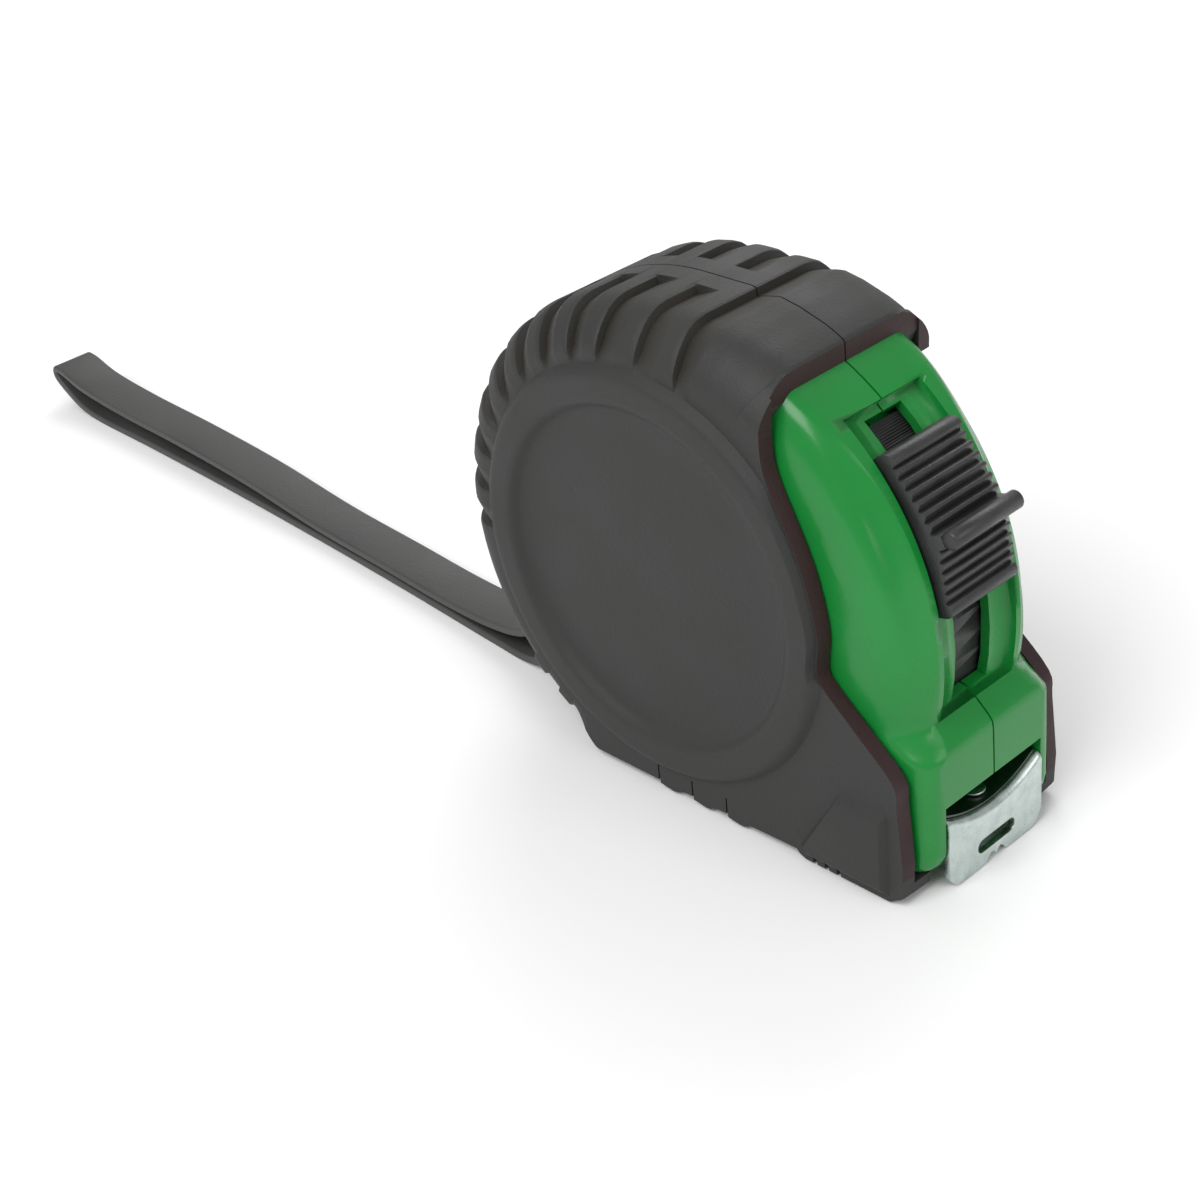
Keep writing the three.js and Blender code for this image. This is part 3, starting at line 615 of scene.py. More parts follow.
@dataclass
class Paintshop:
    """Builds each finish's material once and hands pieces over to the frame."""

    tools: Toolbox = field(default_factory=Toolbox)
    made: dict[str, bpy.types.Material] = field(default_factory=dict)

    def of(self, finish: Finish) -> bpy.types.Material:
        """The material of a finish."""
        if finish.name not in self.made:
            self.made[finish.name] = finish.material(self.tools)
        return self.made[finish.name]

    def dress(self, obj: bpy.types.Object, finish: Finish, body: Body, *nodes: str) -> bpy.types.Object:
        """Gives a piece its material and its body, and hides the CAD nodes that it stands for.

        Args:
            obj: The piece.
            finish: Its finish.
            body: The body that it rides on.
            nodes: CAD nodes that it replaces.

        Returns:
            The piece.
        """
        obj.data.materials.clear()
        obj.data.materials.append(self.of(finish))
        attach(obj, body.value)
        if nodes:
            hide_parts(*nodes)
        LOG.info("%s: %d faces on %s", obj.name, len(obj.data.polygons), body.value)
        return obj

    def coat_node(self, node: str, finish: Finish) -> None:
        """Gives a CAD node that stays its material.

        Args:
            node: The node's name.
            finish: Its finish.
        """
        obj = bpy.data.objects[node]
        obj.data.materials.clear()
        obj.data.materials.append(self.of(finish))
        LOG.info("%s keeps its shape", node)


# ---------------------------------------------------------------- repeats


@dataclass
class Repeat:
    """A shape repeated by a geometry node tree, whose result is kept as a plain mesh."""

    def open_tree(self, name: str, inputs: dict[str, str]) -> tuple[bpy.types.NodeTree, object]:
        """Makes a tree with named inputs.

        Args:
            name: Name of the tree.
            inputs: Kind of socket of each input.

        Returns:
            The tree and its inputs as outputs of its first node.
        """
        tree = bpy.data.node_groups.new(name, "GeometryNodeTree")
        for label, kind in inputs.items():
            tree.interface.new_socket(name=label, in_out="INPUT", socket_type=f"NodeSocket{kind}")
        tree.interface.new_socket(name="Geometry", in_out="OUTPUT", socket_type="NodeSocketGeometry")
        return tree, tree.nodes.new("NodeGroupInput").outputs

    def close_tree(self, tree: bpy.types.NodeTree, instances: bpy.types.NodeSocket,
                   material: bpy.types.Material) -> None:
        """Makes the instances real, gives them their material and ends the tree."""
        real = add_node(tree, "GeometryNodeRealizeInstances", Geometry=instances)
        paint = add_node(tree, "GeometryNodeSetMaterial", Geometry=real.outputs["Geometry"], Material=material)
        add_node(tree, "NodeGroupOutput", Geometry=paint.outputs["Geometry"])

    def run(self, name: str, base: Sequence[Point], edges: Sequence[tuple[int, int]],
            tree: bpy.types.NodeTree, values: dict[str, object]) -> bpy.types.Object:
        """Runs a tree over points or a path.

        Args:
            name: Piece name.
            base: The points, in millimetres.
            edges: How they join into a path, if they do.
            tree: The tree, whose first input takes them.
            values: The value of each other input.

        Returns:
            The result as an object with no modifier.
        """
        mesh = bpy.data.meshes.new(name)
        mesh.from_pydata([place(p) for p in base], edges, [])
        obj = bpy.data.objects.new(name, mesh)
        bpy.context.scene.collection.objects.link(obj)
        modifier = obj.modifiers.new("repeat", "NODES")
        modifier.node_group = tree
        for item in tree.interface.items_tree:
            if item.in_out == "INPUT" and item.name in values:
                modifier[item.identifier] = values[item.name]
        bake(obj)
        return obj


@dataclass
class BarRow(Repeat):
    """Round bars along Y, set out evenly along a path."""

    count: int
    length: float
    radius: float
    sides: int = 12

    def tree(self, material: bpy.types.Material) -> bpy.types.NodeTree:
        """The node tree, with its sizes as named inputs."""
        inputs = {"Path": "Geometry", "Count": "Int", "Length": "Float", "Radius": "Float"}
        tree, given = self.open_tree("bar_row", inputs)
        curve = add_node(tree, "GeometryNodeMeshToCurve", Mesh=given["Path"])
        even = add_node(tree, "GeometryNodeResampleCurve", Curve=curve.outputs["Curve"], Count=given["Count"])
        bar = add_node(tree, "GeometryNodeMeshCylinder", Vertices=self.sides, Radius=given["Radius"],
                       Depth=given["Length"])
        turn = add_node(tree, "GeometryNodeTransform", Geometry=bar.outputs["Mesh"],
                        Rotation=(math.pi / 2, 0.0, 0.0))
        spread = add_node(tree, "GeometryNodeInstanceOnPoints", Points=even.outputs["Curve"],
                          Instance=turn.outputs["Geometry"])
        self.close_tree(tree, spread.outputs["Instances"], material)
        return tree

    def build(self, name: str, path: Sequence[Pair], material: bpy.types.Material) -> bpy.types.Object:
        """Sets the bars out along a path.

        Args:
            name: Piece name.
            path: Points of the path in XZ, in millimetres.
            material: The bars' material.

        Returns:
            The bars as one object.
        """
        values = {"Count": self.count, "Length": self.length * MM, "Radius": self.radius * MM}
        edges = [(i, i + 1) for i in range(len(path) - 1)]
        obj = self.run(name, [(x, 0.0, z) for x, z in path], edges, self.tree(material), values)
        soften(obj, 50.0)
        return obj


@dataclass
class ScrewSet(Repeat):
    """Pan-head screws with a cross recess, set on points."""

    head_radius: float = 2.0
    head_height: float = 1.4
    shank_radius: float = 1.0
    shank_length: float = 8.0

    def screw(self) -> bpy.types.Object:
        """One screw along Y with its seat at the origin, head towards +Y."""
        profile = [(0.0, -self.shank_length), (self.shank_radius, -self.shank_length), (self.shank_radius, 0.0),
                   (self.head_radius, 0.0), (self.head_radius, 0.7 * self.head_height),
                   (0.92 * self.head_radius, 0.88 * self.head_height), (0.7 * self.head_radius, self.head_height),
                   (0.0, self.head_height)]
        rings = [[(r * math.cos(a), y, r * math.sin(a)) for r, y in profile]
                 for a in (2 * math.pi * k / 32 for k in range(32))]
        screw = loft("screw_shape", rings, closed=True)
        for along, across in ((1.3, 0.28), (0.28, 1.3)):
            top = self.head_height + 0.3
            cross = loft("cross", [
                [(-along * s, y, -across * s), (along * s, y, -across * s), (along * s, y, across * s),
                 (-along * s, y, across * s)] for y, s in ((top, 1.1), (0.45, 0.6))])
            carve(screw, cross)
        screw.data.transform(Matrix.Translation((0.0, 0.0, -AXIS_HEIGHT * MM)))
        return screw

    def build(self, name: str, places: Sequence[Point], material: bpy.types.Material) -> bpy.types.Object:
        """Sets a screw on each place.

        Args:
            name: Piece name.
            places: Seats of the heads, in millimetres.
            material: The screws' material.

        Returns:
            The screws as one object.
        """
        shape = self.screw()
        tree, given = self.open_tree("screw_set", {"Places": "Geometry", "Screw": "Object", "Size": "Float"})
        info = add_node(tree, "GeometryNodeObjectInfo", Object=given["Screw"])
        spread = add_node(tree, "GeometryNodeInstanceOnPoints", Points=given["Places"],
                          Instance=info.outputs["Geometry"], Scale=given["Size"])
        self.close_tree(tree, spread.outputs["Instances"], material)
        obj = self.run(name, places, [], tree, {"Screw": shape, "Size": 1.0})
        bpy.data.objects.remove(shape)
        soften(obj, 35.0)
        return obj


# ---------------------------------------------------------------- the moulded case

SHELL_TOP = ((0, .06), (5, .06), (9.6, .06), (10.4, .2), (11, .5), (11.6, 1), (12.1, 1.7), (12.6, 2.7), (13, 3.9),
             (13.3, 5.2), (13.5, 6.6), (13.68, 8.5), (13.75, 12.5))
SHELL_MIDDLE = ((0, .06), (5, .06), (8.4, .06), (8.9, .5), (9.6, 1.6), (10.4, 2.3), (11.3, 2.6), (12.1, 2.9),
                (12.9, 3.8), (13.4, 5.4), (13.6, 6.6), (13.7, 8.5), (13.75, 12.5))
SHELL_LOW = ((0, .06), (5, .06), (8.2, .06), (9.2, .3), (10, .8), (10.8, 1.4), (11.6, 2), (12.2, 2.8), (12.8, 3.7),
             (13.2, 4.7), (13.4, 5.8), (13.65, 8), (13.75, 12.5))
SHELL_STEP = ((0, .06), (5, .06), (8.5, .06), (9.4, .4), (10.2, .9), (11, 1.5), (11.7, 2.3), (12.2, 2.9), (12.7, 3.5),
              (13.1, 4.3), (13.4, 5.2), (13.6, 6.5), (13.75, 12.5))
SHELL_BROW = ((0, .06), (5, .06), (9.3, .06), (10, .25), (10.6, .6), (11.3, 1.2), (11.9, 1.9), (12.4, 2.5), (12.8, 3.2),
              (13.1, 4), (13.35, 5), (13.6, 6.5), (13.75, 12.5))
SHELL_NOSE = ((0, .06), (5, .06), (10.3, .06), (11, .12), (11.6, .35), (12.1, .75), (12.5, 1.15), (12.8, 1.6),
              (13, 2.1), (13.1, 2.6), (13.2, 3.2), (13.4, 4.5), (13.75, 12.5))

Section = tuple[Pair, ...]


@dataclass
class CaseShell:
    """The green moulded case, whose CAD halves get their rounded and scooped front."""

    shop: Paintshop
    reach: float = 8.0  # how far the shaping tool stands off the surface

    def section(self, degrees: float) -> Section:
        """The front's section at an angle about the front curve's centre, as |y| and depth.

        Args:
            degrees: The angle.

        Returns:
            The section's points from the middle outwards.
        """
        if degrees > 20:
            first, second, share = SHELL_MIDDLE, SHELL_TOP, smooth(degrees, 24, 60)
        else:
            first, second, share = SHELL_LOW, SHELL_MIDDLE, smooth(degrees, -8, 16)
        return tuple((blend(a[0], b[0], share), blend(a[1], b[1], share)) for a, b in zip(first, second))

    def ring(self, at: Pair, inwards: Pair, section: Section) -> list[Point]:
        """One ring of the shaping tool: everything outside the section at a place on the front.

        Args:
            at: The place in XZ, on the unshaped surface.
            inwards: Direction into the case.
            section: The surface wanted there, as |y| and depth.

        Returns:
            The ring's points.
        """
        half = [(y, d) for y, d in section]
        far, deep = 22.0, half[-1][1]
        loop = [(-far, -self.reach), (far, -self.reach), (far, deep), *reversed(half),
                *[(-y, d) for y, d in half[1:]], (-far, deep)]
        return [(at[0] + inwards[0] * d, y, at[1] + inwards[1] * d) for y, d in loop]

    def front_tool(self) -> bpy.types.Object:
        """The tool that shapes the front, the step and the nose."""
        rings = []
        for k in range(40):
            angle = 66 - 2 * k
            if angle < -10:
                break
            inwards = polar(-1.0, angle)
            rings.append(self.ring(polar(FRONT_RADIUS, angle, FRONT), inwards, self.section(angle)))
        stations = ((41.2, -10.65, SHELL_LOW), (42.4, -11.75, SHELL_STEP), (43.3, -12.6, SHELL_STEP),
                    (43.85, -13.35, SHELL_BROW), (44.03, -14.6, SHELL_NOSE), (44.1, -20.0, SHELL_NOSE),
                    (44.1, -28.0, SHELL_NOSE), (43.75, -29.6, SHELL_NOSE), (42.9, -30.7, SHELL_NOSE),
                    (41.4, -31.3, SHELL_NOSE))
        rings += [self.ring((x, z), (-1.0, 0.0), section) for x, z, section in stations]
        return loft("front_tool", rings)

    def corner_tool(self) -> bpy.types.Object:
        """The tool that takes off the hidden corners under the jacket's shoulder."""
        rings = []
        for degrees in range(62, 300, 2):
            radius = 34.7
            if degrees < 90:
                radius = 34.7 / (math.sin(math.radians(degrees)) + 0.1553 * math.cos(math.radians(degrees)))
            rings.append([(*polar(r, degrees), y) for r, y in (
                (radius - 2.4, 13.9), (radius + .05, 11.4), (radius + 4, 11.4), (radius + 4, 16), (radius - 2.4, 16))])
        return loft("corner_tool", [[(x, y, z) for x, z, y in ring] for ring in rings])

    def build(self) -> None:
        """Shapes both halves."""
        for side in Side:
            name = f"{side.name.lower()}_shell"
            shell = copy_of(name, f"{name}_moulding")
            carve(shell, self.front_tool())
            corner = self.corner_tool()
            if side is Side.LEFT:
                corner.data.transform(Matrix.Diagonal((1.0, -1.0, 1.0, 1.0)))
                tidy(corner)
            carve(shell, corner)
            even_out(shell)
            self.shop.dress(shell, GREEN, Body.CASE, name)


# ---------------------------------------------------------------- the rubber jackets

BORDER = ((42.3, -28.3), (41.6, -19.5), (41.0, -15.4), (35.3, -10.0), (30.4, -5.5), (29.45, -3.4), (29.8, 2.2),
          (27.7, 10.7), (23.7, 19.2), (22.2, 23), (21.9, 27), (22.2, 32.1))
SHOULDER = ((0.12, 9.9), (0.3, 10.8), (0.6, 11.6), (1.15, 12.7), (1.9, 13.6), (2.9, 14.6), (4.0, 15.4), (5.0, 15.95),
            (6.0, SIDE_Y))
RING = ((30.3, SIDE_Y), (29.9, 16.75), (29.4, 17.35), (28.9, 17.62), (28.2, 17.65), (26.2, 17.65), (25.5, 17.6),
        (25.0, 17.3), (24.5, 16.75), (24.0, 16.35), (23.3, 16.15), (20.0, 16.15), (12.0, 16.15))

LUMPS = (-1.2, 5.2, 11.6)  # rear edges of the lumps under the case


@dataclass
class Jacket:
    """The rubber jacket: a turned section over the case's outline, with grip grooves across it."""

    shop: Paintshop
    groove_depth: float = 1.25
    groove_run: float = 3.7  # length of a groove's sloping floor
    groove_first: float = 78.2
    groove_pitch: float = 10.65
    groove_count: int = 11
    spine: float = 3.5
    wall: float = 2.5

    def outline(self) -> list[Pair]:
        """The side outline, by rising angle from the foot's front corner."""
        valley = -33.7
        foot = [(24.3, valley + 0.2), (24.9, -34.1), (25.9, SOLE_Z)]
        lumps: list[Pair] = []
        for x in LUMPS:
            lumps += [(x, valley), (x + 0.15, valley - 0.5), (x + 1.0, -34.3), (x + 2.6, SOLE_Z),
                      (x + 3.4, -34.35), (x + 3.9, valley - 0.1)]
        top = [(21.95, 33.1), (21.5, 33.7), (20.4, 34.3), (18.8, 35.0), (14.7, 36.3), (11.0, 37.0), (7.2, 37.3)]
        last = 180 + math.degrees(math.asin(-valley / REAR_RADIUS))
        rear = [polar(REAR_RADIUS, blend(90, last, k / 80), (REAR_X, 0)) for k in range(81)]
        return [(41.9, SOLE_Z), *spline(BORDER, 4), *top, *rear, *lumps, *foot]

    def angle(self, point: Pair) -> float:
        """Angle of a point about the reel's axis, from that of the foot's corner."""
        degrees = math.degrees(math.atan2(point[1], point[0]))
        return degrees if degrees > -39.6 else degrees + 360

    def radius(self, degrees: float) -> float:
        """Outline's distance from the reel's axis at an angle.

        Args:
            degrees: The angle.

        Returns:
            The distance in millimetres.
        """
        for a, b in zip(self.rim, self.rim[1:] + self.rim[:1]):
            low, high = self.angle(a), self.angle(b)
            if b == self.rim[0]:
                high += 360
            if low <= degrees <= high and high > low:
                (ax, az), (bx, bz) = a, b
                c, s = math.cos(math.radians(degrees)), math.sin(math.radians(degrees))
                return (ax * bz - az * bx) / (c * (bz - az) - s * (bx - ax))
        return REAR_RADIUS

    def columns(self) -> list[float]:
        """Angles of the section's copies, close together at edges."""
        start = self.angle(self.rim[0])
        angles = {round(self.angle(p), 3) for p in self.rim}
        angles |= {round(start + 1.25 * k, 3) for k in range(288)}
        per_mm = math.degrees(1 / REAR_RADIUS)
        for k in range(self.groove_count):
            crease = self.groove_first + k * self.groove_pitch
            for along in (-self.groove_run - 0.5, -self.groove_run, -2.4, -1.2, -0.12, 0.0, 0.22, 0.5, 1.0):
                angles.add(round(crease + along * per_mm, 3))
        for edge in (220.6, 221.3, 225.9, 226.6, 230.9, 231.6, 235.4, 236.1):
            angles.add(edge)
        ordered = sorted(a for a in angles if start <= a < start + 360)
        kept = [ordered[0]]
        for a in ordered[1:]:
            if a - kept[-1] > 0.06:
                kept.append(a)
        return kept

    def drop(self, degrees: float) -> float:
        """How strongly the shoulder is rounded at an angle: fully over the top and round the rear.

        Args:
            degrees: The angle about the reel's axis.

        Returns:
            A share of the full rounding.
        """
        if degrees < 57.2:
            return 0.05
        lump = max(smooth(degrees, 220.6, 221.3) - smooth(degrees, 225.9, 226.6),
                   smooth(degrees, 230.9, 231.6) - smooth(degrees, 235.4, 236.1))
        fade = 1 - smooth(degrees, 236, 250)
        return max(0.08, fade * (1 - 0.2 * lump))

    def groove(self, degrees: float, y: float) -> float:
        """Depth of the grip grooves at an angle, from 0 to 1.

        Args:
            degrees: The angle about the reel's axis.
            y: Distance from the parting plane.

        Returns:
            The depth as a share of a groove's full depth.
        """
        best = 0.0
        for k in range(self.groove_count):
            if k and y < self.spine:
                continue
            along = math.radians(degrees - self.groove_first - k * self.groove_pitch) * REAR_RADIUS
            if -self.groove_run <= along <= 0:
                best = max(best, 1 + along / self.groove_run)
            elif 0 < along <= 0.22:
                best = max(best, 1 - 0.86 * along / 0.22)
            elif 0.22 < along < 1.0:
                best = max(best, 0.14 * (1 - (along - 0.22) / 0.78) ** 2)
        return best

    def lean(self, degrees: float, radius: float) -> float:
        """Turn of the grooves as they run down the shoulder.

        Args:
            degrees: The angle about the reel's axis.
            radius: Distance from it.

        Returns:
            Degrees to add to the angle.
        """
        share = min(1.0, max(0.0, (REAR_RADIUS - radius) / 7.3)) * smooth(radius, 24, 29)
        if degrees < 60 or degrees > 110:
            return 0.0
        if degrees < 78:
            return -3.6 * smooth(degrees, 60, 78) * share
        return (-3.6 + 4.6 * smooth(degrees, 78, 100)) * (1 - smooth(degrees, 100, 110)) * share

    def section(self, degrees: float) -> list[tuple[float, float, float]]:
        """The section at an angle: radius, |y| and groove depth of each point.

        Args:
            degrees: The angle about the reel's axis.

        Returns:
            The points, from the parting edge over the shoulder and back along the inside.
        """
        rim = self.radius(degrees)
        drop = self.drop(degrees)
        outer = [(rim, y, 1.0, 0.0) for y in (0.12, self.spine - 0.05, self.spine + 0.08, 6.0, 9.0)]
        for k, (fall, y) in enumerate(SHOULDER):
            tilt = (k + 1) / len(SHOULDER) * drop
            outer.append((rim - fall * drop, y, math.cos(tilt * 1.45), math.sin(tilt * 1.45)))
        edge = outer[-1][0]
        base = min(RING[0][0], edge - 0.4)
        outer.append((blend(edge, base, 0.5), SIDE_Y, 0.0, 1.0))
        points = []
        for radius, y, out, side in outer:
            fade = 1.0 if radius > 33 else smooth(radius, 30.2, 33.0) * 0.75 + 0.25
            depth = self.groove(degrees, y) * self.groove_depth * fade
            if degrees < 57.2 or degrees > 215:
                depth = 0.0
            points.append((radius - depth * out, y - depth * side, depth / self.groove_depth))
        for k, (radius, y) in enumerate(RING):
            points.append((min(radius, base - 0.12 * k) if radius > 24 else radius, y, 0.0))
        inner = rim - self.wall
        points += [(0.0, RING[-1][1], 0.0), (0.0, LINING_Y, 0.0), (20.0, LINING_Y, 0.0), (inner - 2.6, LINING_Y, 0.0),
                   (inner, 11.4, 0.0), (inner, 0.12, 0.0)]
        return points

    def blank(self, side: Side) -> bpy.types.Object:
        """One half before its openings are cut, with its groove depths kept as an attribute.

        Args:
            side: Which half.

        Returns:
            The half as an object.
        """
        columns = self.columns()
        points: list[Point] = []
        depths: list[float] = []
        rows = 0
        for degrees in columns:
            section = self.section(degrees)
            rows = len(section)
            for radius, y, depth in section:
                x, z = polar(radius, degrees + self.lean(degrees, radius))
                points.append((x, side.value * y, z))
                depths.append(depth)
        faces = []
        for i in range(len(columns)):
            n = (i + 1) % len(columns)
            for k in range(rows):
                m = (k + 1) % rows
                faces.append((i * rows + k, i * rows + m, n * rows + m, n * rows + k))
        name = f"{side.name.lower()}_jacket_rubber"
        mesh = bpy.data.meshes.new(name)
        mesh.from_pydata([place(p) for p in points], [], faces)
        mesh.attributes.new("groove", "FLOAT", "POINT").data.foreach_set("value", depths)
        obj = bpy.data.objects.new(name, mesh)
        bpy.context.scene.collection.objects.link(obj)
        tidy(obj)
        return obj

    def foot_pad(self, side: Side) -> bpy.types.Object:
        """The raised pad on the side of the foot, sloping out from its top edge."""
        s = side.value
        inner = [(32.6, 15.9, -19.9), (39.9, 15.9, -20.1), (40.0, 15.9, -33.9), (25.3, 15.9, -33.9),
                 (24.3, 15.9, -32.6)]
        outer = [(31.9, 17.25, -21.6), (38.9, 17.25, -21.9), (38.9, 17.25, -32.2), (26.4, 17.2, -32.2),
                 (25.9, 17.2, -31.6)]
        return loft("foot_pad", [[(x, s * y, z) for x, y, z in ring] for ring in (inner, outer)])

    def brow_tool(self, side: Side) -> bpy.types.Object:
        """The tool that carries the rounded shoulder on to the top of the front opening."""
        rings = []
        for x, top in ((17.5, 35.7), (21.5, 33.75), (27.0, 31.2)):
            ring = [(x, side.value * y, top - 0.95 * fall) for fall, y in ((0, 8.5), *SHOULDER, (6.4, 16.8))]
            rings.append([*ring, (x, side.value * 20, top - 6.2), (x, side.value * 20, 42),
                          (x, side.value * 8.5, 42)])
        return loft("brow_tool", rings)

    def openings(self, side: Side) -> list[bpy.types.Object]:
        """Tools for the front opening, the throat, the strap pocket, the foot's notches and the screws.

        Args:
            side: Which half they cut.

        Returns:
            The tools, in order.
        """
        s = side.value
        front = [(21.75, 45), (21.75, 30), (18, 22), (20, 8), (24, -6), (33, -17), (36, -31.45), (70, -31.45),
                 (70, 45)]
        px, pz = PIN
        pocket = [polar(3.5, blend(111.6, -57.6, k / 10), PIN) for k in range(11)]
        pocket += [(px - 1.5, pz - 14), (px - 20, pz - 14), (px - 20, pz + 8), (px - 8, pz + 8)]
        tools = [self.brow_tool(side), prism("front_opening", front, *sorted((-1.0 * s, LINING_Y * s))),
                 prism("throat", [(35.1, -45), (60, -45), (60, -30), (35.1, -30)], -10.85, 10.85),
                 prism("pocket", pocket, -8.8, 8.8)]
        for x in (27.4, 29.4, 31.4):
            notch = [(x - 0.45, -35.2), (x + 0.25, -35.2), (x + 0.15, -32.9), (x - 0.2, -32.7),
                     (x - 0.5, -33.0)]
            tools.append(prism("notch", notch, s * 14.8, s * 18.0))
        for start in LUMPS:
            crease = [(start - 0.25, -35.0), (start + 0.12, -35.0), (start + 0.08, -30.6),
                      (start - 0.16, -30.6)]
            tools.append(prism("crease", crease, s * (SIDE_Y - 0.25), s * 18.0))
        if side is Side.RIGHT:
            tools += [prism("screw_well", disc_outline(2.5, (x, z)), 9.0, 20.0) for x, z in screw_places()]
            tools.append(prism("clip_well", disc_outline(1.2, (0.0, CLIP_Z), 20), 10.0, 20.0))
        return tools

    def mark_lip(self, obj: bpy.types.Object) -> None:
        """Marks the cut edge around the front opening, which has its own tint.

        Args:
            obj: The half, after its openings are cut.
        """
        lip = obj.data.attributes.new("lip", "FLOAT", "FACE")
        for polygon, value in zip(obj.data.polygons, lip.data):
            x, y, z = polygon.center / MM
            z -= AXIS_HEIGHT
            turned = polygon.normal.x > (0.85 if z > 12 else 0.25) and abs(polygon.normal.y) < 0.6
            on_rim = x > 20.9 and z > -30 and abs(y) < SIDE_Y and math.hypot(x, z) > 29.2
            value.value = 1.0 if turned and on_rim else 0.0

    def build(self) -> None:
        """Builds both halves."""
        self.rim = self.outline()
        for side in Side:
            obj = self.blank(side)
            carve(obj, self.foot_pad(side), "UNION")
            for tool in self.openings(side):
                carve(obj, tool)
            self.mark_lip(obj)
            soften(obj, 38.0)
            self.shop.dress(obj, RUBBER, Body.CASE, f"{side.name.lower()}_jacket")


def screw_places() -> list[Pair]:
    """Where the case screws stand, from the frame, in millimetres about the reel's axis."""
    places = []
    for k in range(1, 5):
        low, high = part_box(f"case_screw_{k}")
        middle = (low + high) / 2
        places.append((middle.x / MM, middle.z / MM - AXIS_HEIGHT))
    return places


# ---------------------------------------------------------------- lock


@dataclass
class ThumbLock:
    """The thumb button with its saw-tooth grip and bar, and the ridged belt that it moves."""

    shop: Paintshop
    half: float = 6.6
    base: float = 36.8
    foot: float = 10.4
    top: float = 43.5
    bar_angle: float = 25.2
    bar_radius: float = 1.25
    bar_stand: float = 42.25

    def skin(self) -> list[Pair]:
        """The button's outline from its foot to its top, as angle and radius."""
        points: list[Pair] = [(self.foot, self.base), (self.foot + 0.05, 38.2), (self.foot + 0.35, 38.9),
                              (self.foot + 1.0, 39.3), (self.foot + 1.9, 39.4), (self.foot + 2.9, 39.15)]
        low, count = self.foot + 3.1, 5
        pitch = (self.bar_angle - 1.7 - low) / count
        for k in range(count):
            lift = 39.05 + 0.22 * k
            points += [(low + k * pitch, lift - 0.55), (low + (k + 0.2) * pitch, lift - 0.2),
                       (low + (k + 0.72) * pitch, lift + 0.28), (low + (k + 0.9) * pitch, lift + 0.22)]
        points += [(self.bar_angle - 1.5, 39.9), (self.bar_angle - 1.2, 41.2), (self.bar_angle + 1.2, 41.2),
                   (self.bar_angle + 1.5, 39.9)]
        low, count = self.bar_angle + 1.7, 6
        pitch = (self.top - 3.5 - low) / count
        for k in range(count):
            lift = 40.1 - 0.16 * k
            points += [(low + k * pitch + 0.04, lift - 0.55), (low + (k + 0.16) * pitch, lift - 0.25),
                       (low + (k + 0.55) * pitch, lift + 0.3), (low + (k + 0.85) * pitch, lift + 0.05)]
        points += [(self.top - 3.4, 38.9), (self.top - 3.2, 39.45), (self.top - 2.6, 39.8), (self.top - 1.8, 39.8),
                   (self.top - 0.9, 39.45), (self.top - 0.3, 38.75), (self.top, 37.9), (self.top, self.base)]
        return points

    def build(self) -> None:
        """Builds the button, its bar and the belt."""
        outline = [polar(r, a, FRONT) for a, r in self.skin()]
        under = [polar(self.base, blend(self.top, self.foot, k / 12), FRONT) for k in range(1, 12)]
        button = prism("thumb_button", [*outline, *under], -self.half, self.half)
        neck = [polar(35.0, blend(13.5, 40.5, k / 8), FRONT) for k in range(9)]
        neck += [polar(self.base + 0.3, blend(40.5, 13.5, k / 8), FRONT) for k in range(9)]
        carve(button, prism("neck", neck, -3.2, 3.2), "UNION")
        round_edges(button, 0.11, 2, 35.0)
        soften(button, 40.0)
        self.shop.dress(button, BLACK, Body.LOCK, "lock_button")
        centre = polar(self.bar_stand, self.bar_angle, FRONT)
        ends = [(-1.0, 0.0), (-0.97, 0.45), (-0.86, 0.8), (-0.62, 1.0)]
        reach = self.half + 0.15
        stations = [(-reach + 0.9 * (1 + s), r) for s, r in ends]
        stations += [(-y, r) for y, r in reversed(stations)]
        rings = [[(*polar(self.bar_radius * max(r, 0.02), 360 * k / 28, centre), y) for k in range(28)]
                 for y, r in stations]
        bar = loft("thumb_bar", [[(x, y, z) for x, z, y in ring] for ring in rings])
        soften(bar, 60.0)
        self.shop.dress(bar, BLACK, Body.LOCK)
        belt = copy_of("lock_belt", "brake_belt")
        soften(belt, 30.0)
        self.shop.dress(belt, BLACK, Body.LOCK, "lock_belt")
        path = [polar(34.84, blend(30, 49.6, k / 30), FRONT) for k in range(31)]
        ridges = BarRow(34, 10.6, 0.13, 8).build("belt_ridges", path, self.shop.of(BLACK))
        self.shop.dress(ridges, BLACK, Body.LOCK)
        self.shop.coat_node("brake_pad", RUBBER)


# ---------------------------------------------------------------- blade and hook


def blade_rise(y: float) -> float:
    """Height of the cupped blade over its flat stretch, at y."""
    return 2.6 * (y / 9.5) ** 2 - 0.9


